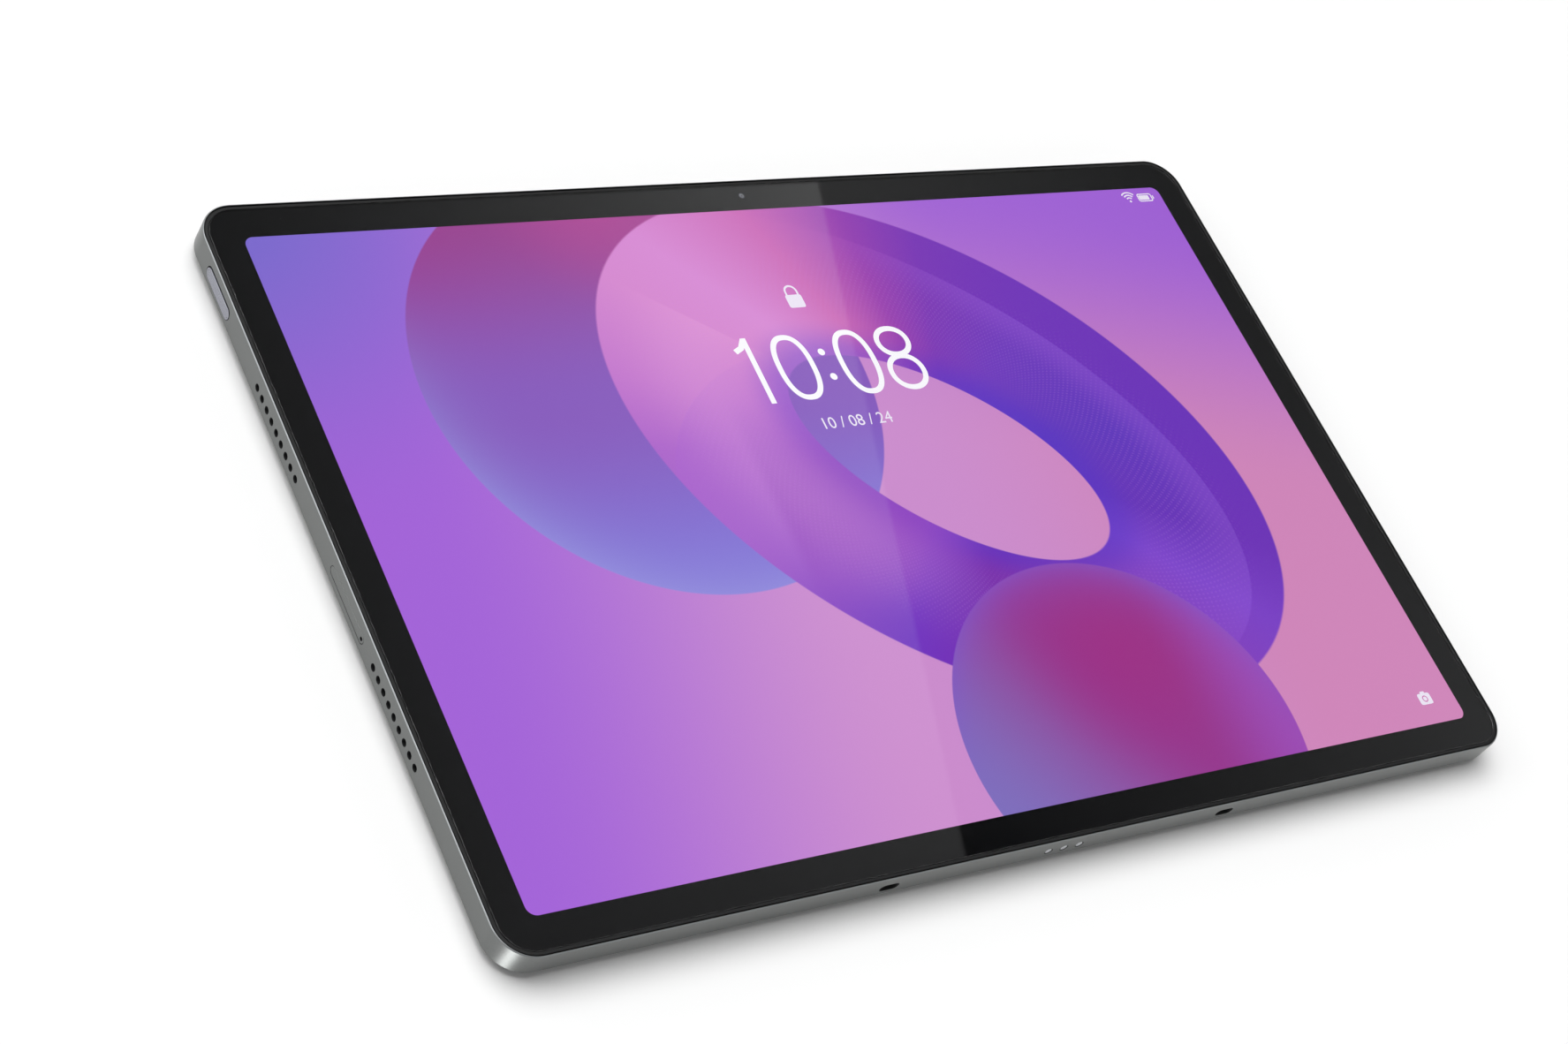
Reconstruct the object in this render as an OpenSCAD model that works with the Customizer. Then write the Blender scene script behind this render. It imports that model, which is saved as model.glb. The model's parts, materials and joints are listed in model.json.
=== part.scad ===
// Tablet computer, lying flat on its back with the screen up.
// X runs along the long side, Y towards the edge with the front camera, Z out of the screen.
// The origin is below the middle of the body, at the height of the rear lens ring,
// which is the lowest point.

/* [Body] */
// Length of the body along its long side
body_l = 291.8; // [288:0.1:300]
// Width of the body along its short side
body_w = 189.1; // [187:0.1:195]
// Thickness of the body without the rear camera
body_t = 6.9; // [6.9:0.1:7.4]
// Radius of the body's four corners in plan
corner_r = 9; // [8:0.5:11]
// Thickness of the metal side wall
wall_t = 1.5; // [1.4:0.05:1.6]
// Thickness of the metal back
floor_t = 0.8; // [0.7:0.05:0.8]
// Width and height of the bright bevel round the front edge
bevel = 0.3; // [0.3:0.05:0.45]
// Radius of the rear edge
rear_round = 0.6; // [0.3:0.1:0.7]

/* [Screen] */
// Length of the lit area
screen_l = 273.5; // [270:0.1:274]
// Width of the lit area
screen_w = 171; // [168:0.1:171]
// Corner radius of the lit area
screen_r = 2.4; // [1:0.1:4]
// Thickness of the cover glass
glass_t = 0.7; // [0.55:0.05:0.7]
// Distance from the body's edge to the glass
glass_inset = 1.45; // [1.45:0.05:1.6]

/* [Speaker grilles] */
// Diameter of one speaker hole
grille_hole_d = 1.8; // [1:0.1:1.8]
// Distance between neighbouring speaker holes
grille_pitch = 3; // [2.6:0.1:3]
// Number of holes in each of the four grilles
grille_count = 9; // [5:1:9]
// Distance of each grille's middle from the centre line
grille_y = 35.6; // [35.4:0.1:36]

/* [Keys] */
// Length of the power button
power_l = 13.7; // [10:0.1:15]
// Width of the power button
power_w = 2.9; // [2:0.1:3]
// Place of the power button along the left side
power_y = 73.3; // [73:0.1:75]
// Extra width of the power button's slot, towards the screen
power_gap = 0.2; // [0.05:0.05:0.25]
// Length of the volume rocker
volume_l = 22; // [18:0.5:24]
// Width of the volume rocker
volume_w = 2.5; // [2:0.1:2.8]
// Place of the volume rocker along the top side
volume_x = -112; // [-114:1:-108]
// Gap round each key
key_gap = 0.2; // [0.15:0.05:0.25]
// Height of the volume rocker above the side wall
key_proud = 0.3; // [0.2:0.05:0.35]
// Height of the power button above the side wall
power_proud = 0.05; // [0:0.05:0.3]

/* [Card tray] */
// Length of the tray's face
tray_l = 18.9; // [18.6:0.1:19]
// Width of the tray's face
tray_w = 2.1; // [1.9:0.1:2.2]
// Place of the tray's middle along the left side
tray_y = -8.15; // [-8.3:0.05:-8]
// Gap round the tray's face
tray_gap = 0.1; // [0.05:0.05:0.1]
// Diameter of the eject pin hole
pin_hole_d = 0.9; // [0.8:0.1:0.9]

/* [USB-C port] */
// Length of the port's opening in the wall
usb_cut_l = 9.2; // [9.1:0.1:9.4]
// Width of the port's opening in the wall
usb_cut_w = 3.4; // [3.3:0.1:3.4]

/* [Keyboard dock] */
// Diameter of each dock contact
contact_d = 1.8; // [1.4:0.1:2]
// Distance between the dock contacts
contact_pitch = 4.55; // [4:0.05:5]
// Distance between the two locating slots
slot_spacing = 99; // [96:0.5:101]
// Length of each locating slot
slot_l = 5; // [4:0.1:6]
// Width of each locating slot
slot_w = 2.4; // [2:0.1:2.6]
// Depth of each locating slot
slot_depth = 1.1; // [0.8:0.1:1.2]

/* [Rear camera] */
// Length of the raised camera plate
plate_l = 45; // [42:0.5:46]
// Width of the raised camera plate
plate_w = 31; // [28:0.5:32]
// Corner radius of the camera plate
plate_r = 3; // [2:0.5:4]
// Height of the plate above the back
plate_h = 0.7; // [0.6:0.1:0.8]
// Place of the plate's middle along the long side
plate_x = -115; // [-116:0.5:-114]
// Place of the plate's middle along the short side
plate_y = 71; // [70.5:0.5:71.5]
// Outer diameter of the lens ring
lens_d = 14; // [13:0.5:14.5]
// Height of the lens ring above the plate
lens_h = 1.2; // [1.1:0.1:1.4]
// Distance between the lens and the flash
lens_flash = 19.3; // [19:0.1:20]
// Diameter of the flash window
flash_d = 13.8; // [12:0.1:14]

/* [Hidden] */
$fn = 64;

// Heights, from the rear lens ring up to the glass
back_z = plate_h + lens_h;
front_z = back_z + body_t;
floor_z = back_z + floor_t;
board_lift = 0.45;
board_z = floor_z + board_lift;
board_t = 0.8;
part_z = board_z + board_t;
flex_t = 0.15;
glass_z = front_z - glass_t;
mask_gap = 0.02;
mask_t = 0.05;
mask_z = glass_z - mask_gap - mask_t;
panel_gap = 0.03;
lcd_t = 0.62;
lcd_z = mask_z - panel_gap - lcd_t;
film_t = 0.28;
film_z = lcd_z - film_t;
guide_t = 0.5;
guide_z = film_z - guide_t;
backlight_sheet = 0.2;
backlight_z = guide_z - backlight_sheet;
ledge_drop = 1.3;
ledge_z = front_z - ledge_drop;
ledge_t = 0.6;
tape_t = 0.2;

// Distances inwards from the body's edge
lip_u = bevel + 0.1;
ledge_u = 3;
floor_u = 2.5;
groove_u = 0.85;
groove_drop = 0.5;
surround_drop = 0.15;
glass_gap = 0.07;
surround_u = glass_inset - glass_gap;

// Middle heights of what shows on the side walls
key_z = front_z - 3.9;
grille_z = front_z - 3.65;
tray_z = front_z - 3.7;
dock_z = front_z - 3.95;
usb_z = floor_z + usb_cut_w / 2 + 0.1;

half_l = body_l / 2;
half_w = body_w / 2;
inner_x = half_l - wall_t;
inner_y = half_w - wall_t;
cut_past = 1;
cut_inside = 0.2;
fit_gap = 0.05;

// Section through the metal rim: rear edge, wall, bevel, ledge for the display and floor
edge_steps = 4;
rim_section = concat(
    [for (k = [0:edge_steps]) [
        rear_round * (1 - sin(90 * k / edge_steps)),
        back_z + rear_round * (1 - cos(90 * k / edge_steps))]],
    [
        [0, front_z - bevel], [bevel, front_z], [lip_u, front_z], [lip_u, ledge_z],
        [ledge_u, ledge_z], [ledge_u, ledge_z - ledge_t], [wall_t, ledge_z - ledge_t],
        [wall_t, floor_z], [floor_u, floor_z], [floor_u, back_z]
    ]
);

// Section through the black surround between the metal rim and the glass
surround_section = [
    [lip_u + fit_gap, ledge_z], [lip_u + fit_gap, front_z - groove_drop],
    [groove_u, front_z - groove_drop], [groove_u, front_z - surround_drop],
    [surround_u, front_z - surround_drop], [surround_u, glass_z - tape_t],
    [ledge_u, glass_z - tape_t], [ledge_u, ledge_z]
];

// Section through the tape under the edge of the glass
tape_section = [
    [surround_u + 0.1, glass_z - tape_t], [surround_u + 0.1, glass_z],
    [ledge_u, glass_z], [ledge_u, glass_z - tape_t]
];

// Backlight
led_row_w = 1.4;
led_pitch = 7.8;
led_l = 3;
led_h = 0.35;
led_side_count = 17;
led_board_t = 0.1;
backlight_rim = 0.3;

// Rear camera
lens_x = plate_x - lens_flash / 2;
flash_x = plate_x + lens_flash / 2;
lens_bore_r = 5.2;
lens_seat_r = 5.8;
lens_seat_z = 0.75;
lens_bevel = 0.25;
lens_glass_t = 0.4;
flash_bore_r = 2.6;
plate_bevel = 0.3;
plate_edge = 2;
camera_barrel_r = 4.6;
camera_barrel_z = 0.95;
camera_cone_r = [4.1, 1.6];
camera_block = 9.5;
camera_block_h = 3.2;
led_dome_r = 2.1;
led_dome_h = 0.9;
led_block = 4.8;
badge_l = 15;
badge_w = 2;
badge_t = 0.12;

// Power button and volume rocker
key_flange_t = 0.6;
power_travel = 0.3;
volume_swing = 0.3;
dome_h = 0.5;
dome_r = 1.3;
key_board_t = 0.5;
key_board_w = 2.6;
key_flange_side = 0.9;
key_nub_r = 0.8;
power_nub_l = 0.5;
power_in_x = -inner_x + fit_gap;
power_dome_x = power_in_x + key_flange_t + power_nub_l + power_travel + fit_gap;
power_slot_shift = 0.08;
power_slot_z = key_z + power_gap / 2 + power_slot_shift;
power_pad_sink = 0.15;
power_rim = 0.4;
volume_nub_l = 0.6;
volume_in_y = inner_y - volume_swing;
volume_dome_y = volume_in_y - key_flange_t - volume_nub_l - volume_swing;
volume_dome_dx = 7;
volume_flange_y = volume_in_y - key_flange_t;
volume_flange_w = 2.2;
fulcrum_r = 0.4;

// Card tray and its ejector
tray_body_l = 23.8;
tray_body_w = 14.8;
tray_body_t = 1.2;
tray_body_z = part_z + 0.4;
tray_body_y = tray_y + 0.35;
tray_end_x = -inner_x + tray_body_l;
reader_sheet = 0.25;
reader_h = 2;
reader_x = -inner_x + 0.5;
reader_l = 28.9;
reader_y0 = tray_y - tray_l / 2 - 0.3;
reader_w = 18.8;
card_gap = 0.15;
chamber_x = tray_end_x + 0.9;
chamber_l = 4.3;
rod_y = tray_y - tray_l / 2 + 1;
rod_r = 0.45;
rod_z = tray_z;
rod_l = chamber_x - reader_x + 0.2;
lever_gap = 0.15;
lever_w = 1.2;
lever_t = 0.8;
lever_z = tray_body_z + 0.35;
lever_face_x = reader_x + 0.2 + rod_l + lever_gap;
pivot_x = lever_face_x + 1.5;
pivot_y = rod_y + 8.1;
pivot_r = 0.5;
lever_tip = 6;

// Keyboard dock
contact_rim = 0.15;
contact_sink = 0.05;
magnet_l = 14;
magnet_x = [28, 72];

// Boards and screws
main_x0 = -118.5;
main_x1 = 38;
main_y0 = 40;
main_y1 = 88;
usb_board_x = 118;
usb_board_w = 30;
usb_port_l = 7.3;
card_board_x = -113;
card_board_y0 = reader_y0 - 0.7;
card_board_y1 = 8;
screw_r = 0.55;
screw_hole_r = 0.6;
screw_head_r = 1.3;
screw_head_h = 0.5;
screw_socket_r = 0.6;
screw_l = 1.65;
screw_tip_gap = 0.05;
boss_r = 1.7;
board_screws = [
    [-110, 84], [-112, 45], [-60, 42.5], [-30, 85], [30, 43], [30, 85],
    [126, 11], [126, -11], [-122, 5], [-140, 5]
];

// Speakers
speaker_l = 33;
speaker_d = 20.5;
speaker_z = floor_z + 0.2;
speaker_h = 3.3;
speaker_x = inner_x - 0.9;
ear = 5;
mesh_t = 0.2;
mesh_w = 2.1;
speaker_corners = [[-1, 1], [-1, -1], [1, 1], [1, -1]];
ear_offset = speaker_l / 2 - ear / 2;
speaker_screws = [
    for (c = speaker_corners, e = [-1, 1])
        [c[0] * (speaker_x - speaker_d + ear / 2), c[1] * grille_y + e * ear_offset]
];

// Battery
cell_l = 108.5;
cell_w = 104;
cell_t = 3.1;
cell_y = -25;
cell_gap = 2;
cell_pad = 0.15;
cell_mid = cell_gap + cell_l / 2;
strip_pitch = 34;
strip_w = 18;
strip_end = 4;
battery_board_y = 29;
battery_board_l = 92;
battery_board_w = 6;

// Top edge
front_camera_y = half_w - 4.65;
mic_x = 45;
mic_r = 0.4;
antenna_l = 30;
antenna_x = [75, 112];
cable_w = 0.8;
lane_x = 112.5;
lane_w = 5;
display_flex_x = 20;
display_flex_l = 24;
display_flex_y = 62;
shield_sheet = 0.2;
shield_h = 1.4;
connector_h = 0.7;

// ---------- shared shapes ----------

// Rectangle with round corners, centred on the origin
module rounded_rect(l, w, r) {
    square([l - 2 * r, w], center = true);
    square([l, w - 2 * r], center = true);
    for (sx = [-1, 1], sy = [-1, 1])
        translate([sx * (l / 2 - r), sy * (w / 2 - r)]) circle(r);
}

// Plate with round corners, from height z up
module rounded_plate(l, w, r, z, t) {
    translate([0, 0, z]) linear_extrude(t) rounded_rect(l, w, r);
}

// Strip with round ends, centred on the origin
module pill(l, w) {
    square([l - w, w], center = true);
    for (s = [-1, 1]) translate([s * (l - w) / 2, 0]) circle(w / 2);
}

// Pill that lies along Y and reaches from x0 to x1
module pill_through_x(x0, x1, y, z, l, w) {
    translate([x0, y, z]) rotate([90, 0, 90]) linear_extrude(x1 - x0) pill(l, w);
}

// Pill that lies along X and reaches from y0 to y1
module pill_through_y(y0, y1, x, z, l, w) {
    translate([x, y0, z]) rotate([90, 0, 180]) linear_extrude(y1 - y0) pill(l, w);
}

// Cylinder along X from x0 to x1
module rod_x(x0, x1, y, z, r) {
    translate([x0, y, z]) rotate([0, 90, 0]) cylinder(h = x1 - x0, r = r);
}

// Cylinder along Y from y0 to y1
module rod_y_axis(y0, y1, x, z, r) {
    translate([x, y0, z]) rotate([-90, 0, 0]) cylinder(h = y1 - y0, r = r);
}

// Box from its lowest to its highest corner
module box(a, b) {
    translate(a) cube(b - a);
}

// Frame round a rounded rectangle. The section's points are [distance inwards, height].
module swept_frame(l, w, r, section) {
    for (sy = [0, 1]) mirror([0, sy, 0]) rotate([90, 0, 90])
        linear_extrude(l - 2 * r, center = true)
            polygon([for (p = section) [w / 2 - p[0], p[1]]]);
    for (sx = [0, 1]) mirror([sx, 0, 0]) rotate([90, 0, 0])
        linear_extrude(w - 2 * r, center = true)
            polygon([for (p = section) [l / 2 - p[0], p[1]]]);
    for (sx = [0, 1], sy = [0, 1]) mirror([sx, 0, 0]) mirror([0, sy, 0])
        translate([l / 2 - r, w / 2 - r, 0]) rotate_extrude(angle = 90)
            polygon([for (p = section) [r - p[0], p[1]]]);
}

// One flat cable from a list of boxes in plan, [x0, y0, x1, y1]
module flex(strips) {
    for (s = strips) box([s[0], s[1], part_z], [s[2], s[3], part_z + flex_t]);
}

// ---------- body ----------

module screw_bosses() {
    for (p = board_screws)
        translate([p[0], p[1], floor_z]) cylinder(h = board_z - floor_z, r = boss_r);
    for (p = speaker_screws)
        translate([p[0], p[1], floor_z]) cylinder(h = speaker_z - floor_z, r = boss_r);
}

module grille_holes() {
    for (sy = [-1, 1], k = [0:grille_count - 1])
        rod_x(inner_x - cut_inside, half_l + cut_past,
            sy * grille_y + (k - (grille_count - 1) / 2) * grille_pitch, grille_z,
            grille_hole_d / 2);
}

module side_openings() {
    for (sx = [0, 1]) mirror([sx, 0, 0]) grille_holes();
    pill_through_x(-half_l - cut_past, -inner_x + cut_inside, power_y, power_slot_z,
        power_l + 2 * key_gap, power_w + 2 * key_gap + power_gap);
    pill_through_x(-half_l - cut_past, -inner_x + cut_inside, tray_y, tray_z,
        tray_l + 2 * tray_gap, tray_w + 2 * tray_gap);
    pill_through_x(inner_x - cut_inside, half_l + cut_past, 0, usb_z, usb_cut_l, usb_cut_w);
}

module top_and_bottom_openings() {
    out = half_w + cut_past;
    pill_through_y(inner_y - cut_inside, out, volume_x, key_z,
        volume_l + 2 * key_gap, volume_w + 2 * key_gap);
    for (sx = [-1, 1]) {
        rod_y_axis(inner_y - cut_inside, out, sx * mic_x, key_z, mic_r);
        pill_through_y(-out, -half_w + slot_depth, sx * slot_spacing / 2, dock_z,
            slot_l, slot_w);
    }
    for (k = [-1:1])
        rod_y_axis(-out, -inner_y + cut_inside, k * contact_pitch, dock_z,
            contact_d / 2 + contact_rim);
}

module back_shell() color("#77797a") difference() {
    union() {
        swept_frame(body_l, body_w, corner_r, rim_section);
        rounded_plate(body_l - 2 * floor_u, body_w - 2 * floor_u, corner_r - floor_u,
            back_z, floor_t);
        screw_bosses();
    }
    side_openings();
    top_and_bottom_openings();
    translate([lens_x, plate_y, 0]) cylinder(h = floor_z + 1, r = lens_bore_r);
    translate([flash_x, plate_y, 0]) cylinder(h = floor_z + 1, r = flash_bore_r);
    for (p = concat(board_screws, speaker_screws))
        translate([p[0], p[1], part_z - screw_l - screw_tip_gap])
            cylinder(h = screw_l, r = screw_hole_r);
}

module badge_inlay() color("#b4b6b8")
    translate([0, plate_y, back_z - badge_t]) linear_extrude(badge_t) pill(badge_l, badge_w);

// ---------- display ----------

module display_surround() color("#1d1e20")
    swept_frame(body_l, body_w, corner_r, surround_section);

module display_adhesive() color("#101010")
    swept_frame(body_l, body_w, corner_r, tape_section);

module cover_glass() color([0.5, 0.55, 0.6, 0.3])
    rounded_plate(body_l - 2 * glass_inset, body_w - 2 * glass_inset,
        corner_r - glass_inset, glass_z, glass_t);

module bezel_mask() color("#0b0b0c") difference() {
    rounded_plate(body_l - 2 * ledge_u - 0.2, body_w - 2 * ledge_u - 0.2,
        corner_r - ledge_u, mask_z, mask_t);
    rounded_plate(screen_l, screen_w, screen_r, mask_z - 1, 3);
    translate([0, front_camera_y, mask_z - 1]) cylinder(h = 3, r = 0.9);
}

module lcd_panel() color("#7a55c0")
    rounded_plate(screen_l + 3.6, screen_w + 3.4, screen_r, lcd_z, lcd_t);

module diffuser_films() color("#e8e8ee")
    rounded_plate(screen_l + 3, screen_w + 3, screen_r, film_z, film_t);

module light_guide() color("#dfe6ee")
    box([-screen_l / 2 - 1, -screen_w / 2 + led_row_w, guide_z],
        [screen_l / 2 + 1, screen_w / 2 + 1.3, guide_z + guide_t]);

module led_strip() color("#e9d77a") {
    box([-screen_l / 2, -screen_w / 2 - 1.2, guide_z],
        [screen_l / 2, -screen_w / 2 + led_row_w - 0.1, guide_z + led_board_t]);
    for (k = [-led_side_count:led_side_count])
        box([k * led_pitch - led_l / 2, -screen_w / 2 + 0.3, guide_z + led_board_t],
            [k * led_pitch + led_l / 2, -screen_w / 2 + led_row_w - 0.1,
                guide_z + led_board_t + led_h]);
}

module backlight_tray() color("#8d9093") difference() {
    l = screen_l + 4.8;
    w = screen_w + 4.6;
    rounded_plate(l, w, screen_r, backlight_z, lcd_z - backlight_z);
    rounded_plate(l - 2 * backlight_rim, w - 2 * backlight_rim, screen_r - backlight_rim,
        guide_z, lcd_z - guide_z + 1);
}

// ---------- battery ----------

module battery_cells() color("#3b3d42") {
    for (s = [-1, 1])
        translate([s * cell_mid, cell_y, floor_z + cell_pad])
            linear_extrude(cell_t) rounded_rect(cell_l, cell_w, 2);
}

module battery_adhesive() color("#f1f1f1") {
    for (s = [-1, 1], k = [-1:1])
        translate([s * cell_mid + k * strip_pitch, cell_y, floor_z]) linear_extrude(cell_pad)
            square([strip_w, cell_w - 2 * strip_end], center = true);
}

module battery_board() color("#1f6b46") {
    box([-battery_board_l / 2, battery_board_y, board_z],
        [battery_board_l / 2, battery_board_y + battery_board_w, part_z]);
    for (k = [-1:1])
        box([k * 24 - 2.5, battery_board_y + 1, part_z],
            [k * 24 + 2.5, battery_board_y + 4, part_z + 0.9]);
}

module battery_flex() color("#b8742c")
    flex([[-9, battery_board_y + battery_board_w - 1.8, 9, main_y0 + 3]]);

// ---------- main board ----------

module board_holes(points) {
    for (p = points) translate([p[0], p[1], board_z - 1]) cylinder(h = 4, r = screw_hole_r);
}

module main_board() color("#1d5c43") difference() {
    box([main_x0, main_y0, board_z], [main_x1, main_y1, part_z]);
    board_holes(board_screws);
}

module chip(x, y, l, w, h) {
    box([x - l / 2, y - w / 2, part_z], [x + l / 2, y + w / 2, part_z + h]);
}

module board_chips() color("#26272b") {
    chip(-40, 66, 15, 15, 1);
    chip(-61, 68, 11.5, 13, 0.9);
    chip(-61, 57.5, 7, 5, 0.7);
    chip(-10, 70, 7, 7, 0.8);
    chip(0, 70, 7, 7, 0.8);
    chip(-5, 59, 9, 9, 0.9);
    chip(-88, 62, 9, 9, 0.9);
    chip(-88, 50, 6, 6, 0.8);
    chip(22, 69, 6, 8, 0.8);
    chip(22, 52, 5, 5, 0.8);
    for (k = [0:7]) chip(-100 + k * 3.2, 78, 1.6, 0.9, 0.5);
    for (k = [0:5]) chip(13 + k * 3.2, 78, 1.6, 0.9, 0.5);
}

module shield(x0, y0, x1, y1) difference() {
    s = shield_sheet;
    box([x0, y0, part_z], [x1, y1, part_z + shield_h]);
    box([x0 + s, y0 + s, part_z - 1], [x1 - s, y1 - s, part_z + shield_h - s]);
}

module board_shields() color("#b9bcc0") {
    shield(-74, 53, -28, 78);
    shield(-18, 53, 8, 78);
}

module board_connectors() color("#2a2a2a") {
    z = part_z + flex_t;
    for (c = [
        [0, main_y0 + 1.5, 16, 2], [-116.5, main_y0 + 2.5, 4, 4], [35.5, 60.5, 3, 6],
        [-114.5, plate_y, 4, 7], [-115.5, 79.5, 4, 2.4], [0, 86, 3.6, 2.4]
    ])
        box([c[0] - c[2] / 2, c[1] - c[3] / 2, z],
            [c[0] + c[2] / 2, c[1] + c[3] / 2, z + connector_h]);
    box([display_flex_x - 10, display_flex_y - 2, part_z],
        [display_flex_x + 10, display_flex_y, part_z + connector_h]);
}

module thermal_sheet() color("#3a3a3c")
    box([-98, 47, floor_z], [26, 81, floor_z + 0.1]);

// ---------- side boards, flat cables ----------

module usb_board() color("#1d5c43") difference() {
    box([usb_board_x, -usb_board_w / 2, board_z],
        [inner_x - 0.9, usb_board_w / 2, part_z]);
    box([half_l - 0.3 - usb_port_l - 0.2, -usb_cut_l / 2 - 0.1, board_z - 1],
        [half_l, usb_cut_l / 2 + 0.1, part_z + 1]);
    board_holes(board_screws);
}

module usb_port() color("#c3c5c8") {
    skin = 0.25;
    x1 = half_l - 0.3;
    x0 = x1 - usb_port_l;
    shell_l = usb_cut_l - 0.2;
    shell_w = usb_cut_w - 0.2;
    difference() {
        pill_through_x(x0, x1, 0, usb_z, shell_l, shell_w);
        pill_through_x(x0 + 1, x1 + 1, 0, usb_z, shell_l - 2 * skin, shell_w - 2 * skin);
    }
    box([x0 + 0.9, -3.35, usb_z - 0.35], [x1 - 0.9, 3.35, usb_z + 0.35]);
}

module usb_flex() color("#b8742c") flex([
    [main_x1 - 4, 57, lane_x + lane_w, 64],
    [lane_x, -6, lane_x + lane_w, 57],
    [lane_x + lane_w, -6, usb_board_x + 4, 4]
]);

module dock_flex() color("#b8742c") {
    y = -inner_y + 4;
    flex([
        [-6, y, lane_x + lane_w, y + 4],
        [lane_x, y + 4, lane_x + lane_w, -8],
        [lane_x + lane_w, -14, usb_board_x + 4, -8]
    ]);
}

module display_flex() color("#b8742c") {
    wrap = screen_w / 2 + 3;
    under_z = backlight_z - 0.1 - flex_t;
    start = display_flex_y;
    lap = 1.2;
    translate([display_flex_x, 0, 0]) rotate([90, 0, 90])
        linear_extrude(display_flex_l, center = true) polygon([
            [start, part_z], [start + flex_t, part_z], [start + flex_t, under_z],
            [wrap, under_z], [wrap, lcd_z + flex_t], [wrap - lap, lcd_z + flex_t],
            [wrap - lap, lcd_z], [wrap - flex_t, lcd_z], [wrap - flex_t, under_z + flex_t],
            [start, under_z + flex_t]
        ]);
}

module camera_flex() color("#b8742c")
    flex([[lens_x + camera_block / 2, plate_y - 4, -112.5, plate_y + 4]]);

module front_flex() color("#b8742c")
    flex([[-2, 84.5, 2, 92.4], [2, 88.5, 14.5, 92.4]]);

// ---------- speakers ----------

// Speaker for the right side at y = 0, sound towards +X
module speaker() {
    z1 = speaker_z + speaker_h;
    x0 = speaker_x - speaker_d;
    difference() {
        union() {
            box([x0, -speaker_l / 2, speaker_z], [speaker_x, speaker_l / 2, z1]);
            box([speaker_x, -14, grille_z - 1.05], [inner_x - 0.05 - mesh_t, 14, z1]);
        }
        box([speaker_x - 5, -13.2, grille_z - 0.8], [half_l, 13.2, grille_z + 0.8]);
        for (s = [-1, 1]) {
            box([x0 - 1, s * speaker_l / 2 - ear, part_z],
                [x0 + ear, s * speaker_l / 2 + ear, z1 + 1]);
            translate([x0 + ear / 2, s * ear_offset, speaker_z - 1])
                cylinder(h = 4, r = screw_hole_r);
        }
        translate([x0 + 8.4, 0, z1 - 0.4]) linear_extrude(1) rotate(90) pill(20, 11);
    }
    translate([x0 + 8.4, 0, z1 - 0.5]) linear_extrude(0.35) rotate(90) pill(17, 8);
}

module speaker_at(sx, sy) color("#2b2c2f")
    mirror([sx < 0 ? 1 : 0, 0, 0]) translate([0, sy * grille_y, 0]) speaker();

module speaker_left_upper() speaker_at(-1, 1);
module speaker_left_lower() speaker_at(-1, -1);
module speaker_right_upper() speaker_at(1, 1);
module speaker_right_lower() speaker_at(1, -1);

module speaker_meshes() color("#141414") {
    for (sx = [0, 1], sy = [-1, 1]) mirror([sx, 0, 0])
        box([inner_x - mesh_t, sy * grille_y - 13.8, grille_z - mesh_w / 2],
            [inner_x, sy * grille_y + 13.8, grille_z + mesh_w / 2]);
}

// ---------- cameras, sensors, radio ----------

module front_camera() color("#202124") {
    box([-3, front_camera_y - 2.5, part_z + flex_t],
        [3, front_camera_y + 2.5, backlight_z - 0.1]);
    translate([0, front_camera_y, backlight_z - 0.1])
        cylinder(h = mask_z - 0.05 - backlight_z + 0.1, r = 1.5);
}

module light_sensor() color("#303236")
    box([11, front_camera_y - 1, part_z + flex_t], [13.4, front_camera_y + 1, mask_z - 0.05]);

module microphones() color("#c9a94f") {
    for (s = [-1, 1])
        box([s * mic_x - 1.8, inner_y - 1.1, key_z - 1.3],
            [s * mic_x + 1.8, inner_y - 0.1, key_z + 1.3]);
}

module wifi_antennas() color("#3a3127") {
    for (x = antenna_x)
        box([x - antenna_l / 2, inner_y - 3.4, floor_z],
            [x + antenna_l / 2, inner_y - 0.2, ledge_z - ledge_t - 0.2]);
}

// Coaxial leads, square in section, each with one corner
module antenna_cables() color("#1a1a1a") {
    s = cable_w;
    for (k = [0, 1]) {
        y = 83 - 3 * k;
        box([main_x1 - 3, y, part_z], [antenna_x[k] + s, y + s, part_z + s]);
        box([antenna_x[k], y + s, part_z], [antenna_x[k] + s, inner_y - 3.4, part_z + s]);
    }
}

module camera_plate() color("#a6a8ab") translate([plate_x, plate_y, 0]) difference() {
    edge = plate_edge;
    face_z = back_z - plate_h;
    union() {
        swept_frame(plate_l, plate_w, plate_r, [
            [0, back_z], [0, face_z + plate_bevel], [plate_bevel, face_z],
            [edge, face_z], [edge, back_z]
        ]);
        rounded_plate(plate_l - 2 * edge, plate_w - 2 * edge, plate_r - edge, face_z, plate_h);
    }
    translate([lens_x - plate_x, 0, -1]) cylinder(h = 5, r = lens_d / 2 + fit_gap);
    translate([flash_x - plate_x, 0, -1]) cylinder(h = 5, r = flash_d / 2 + fit_gap);
}

module lens_ring() color("#5c5e61") translate([lens_x, plate_y, 0]) difference() {
    union() {
        translate([0, 0, lens_bevel]) cylinder(h = back_z - lens_bevel, r = lens_d / 2);
        cylinder(h = lens_bevel, r1 = lens_d / 2 - lens_bevel, r2 = lens_d / 2);
    }
    translate([0, 0, -1]) cylinder(h = 5, r = lens_bore_r);
    translate([0, 0, -1]) cylinder(h = 1 + lens_seat_z, r = lens_seat_r);
}

module lens_cover() color([0.2, 0.22, 0.25, 0.4])
    translate([lens_x, plate_y, lens_seat_z - lens_glass_t])
        cylinder(h = lens_glass_t, r = lens_seat_r - fit_gap);

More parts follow.
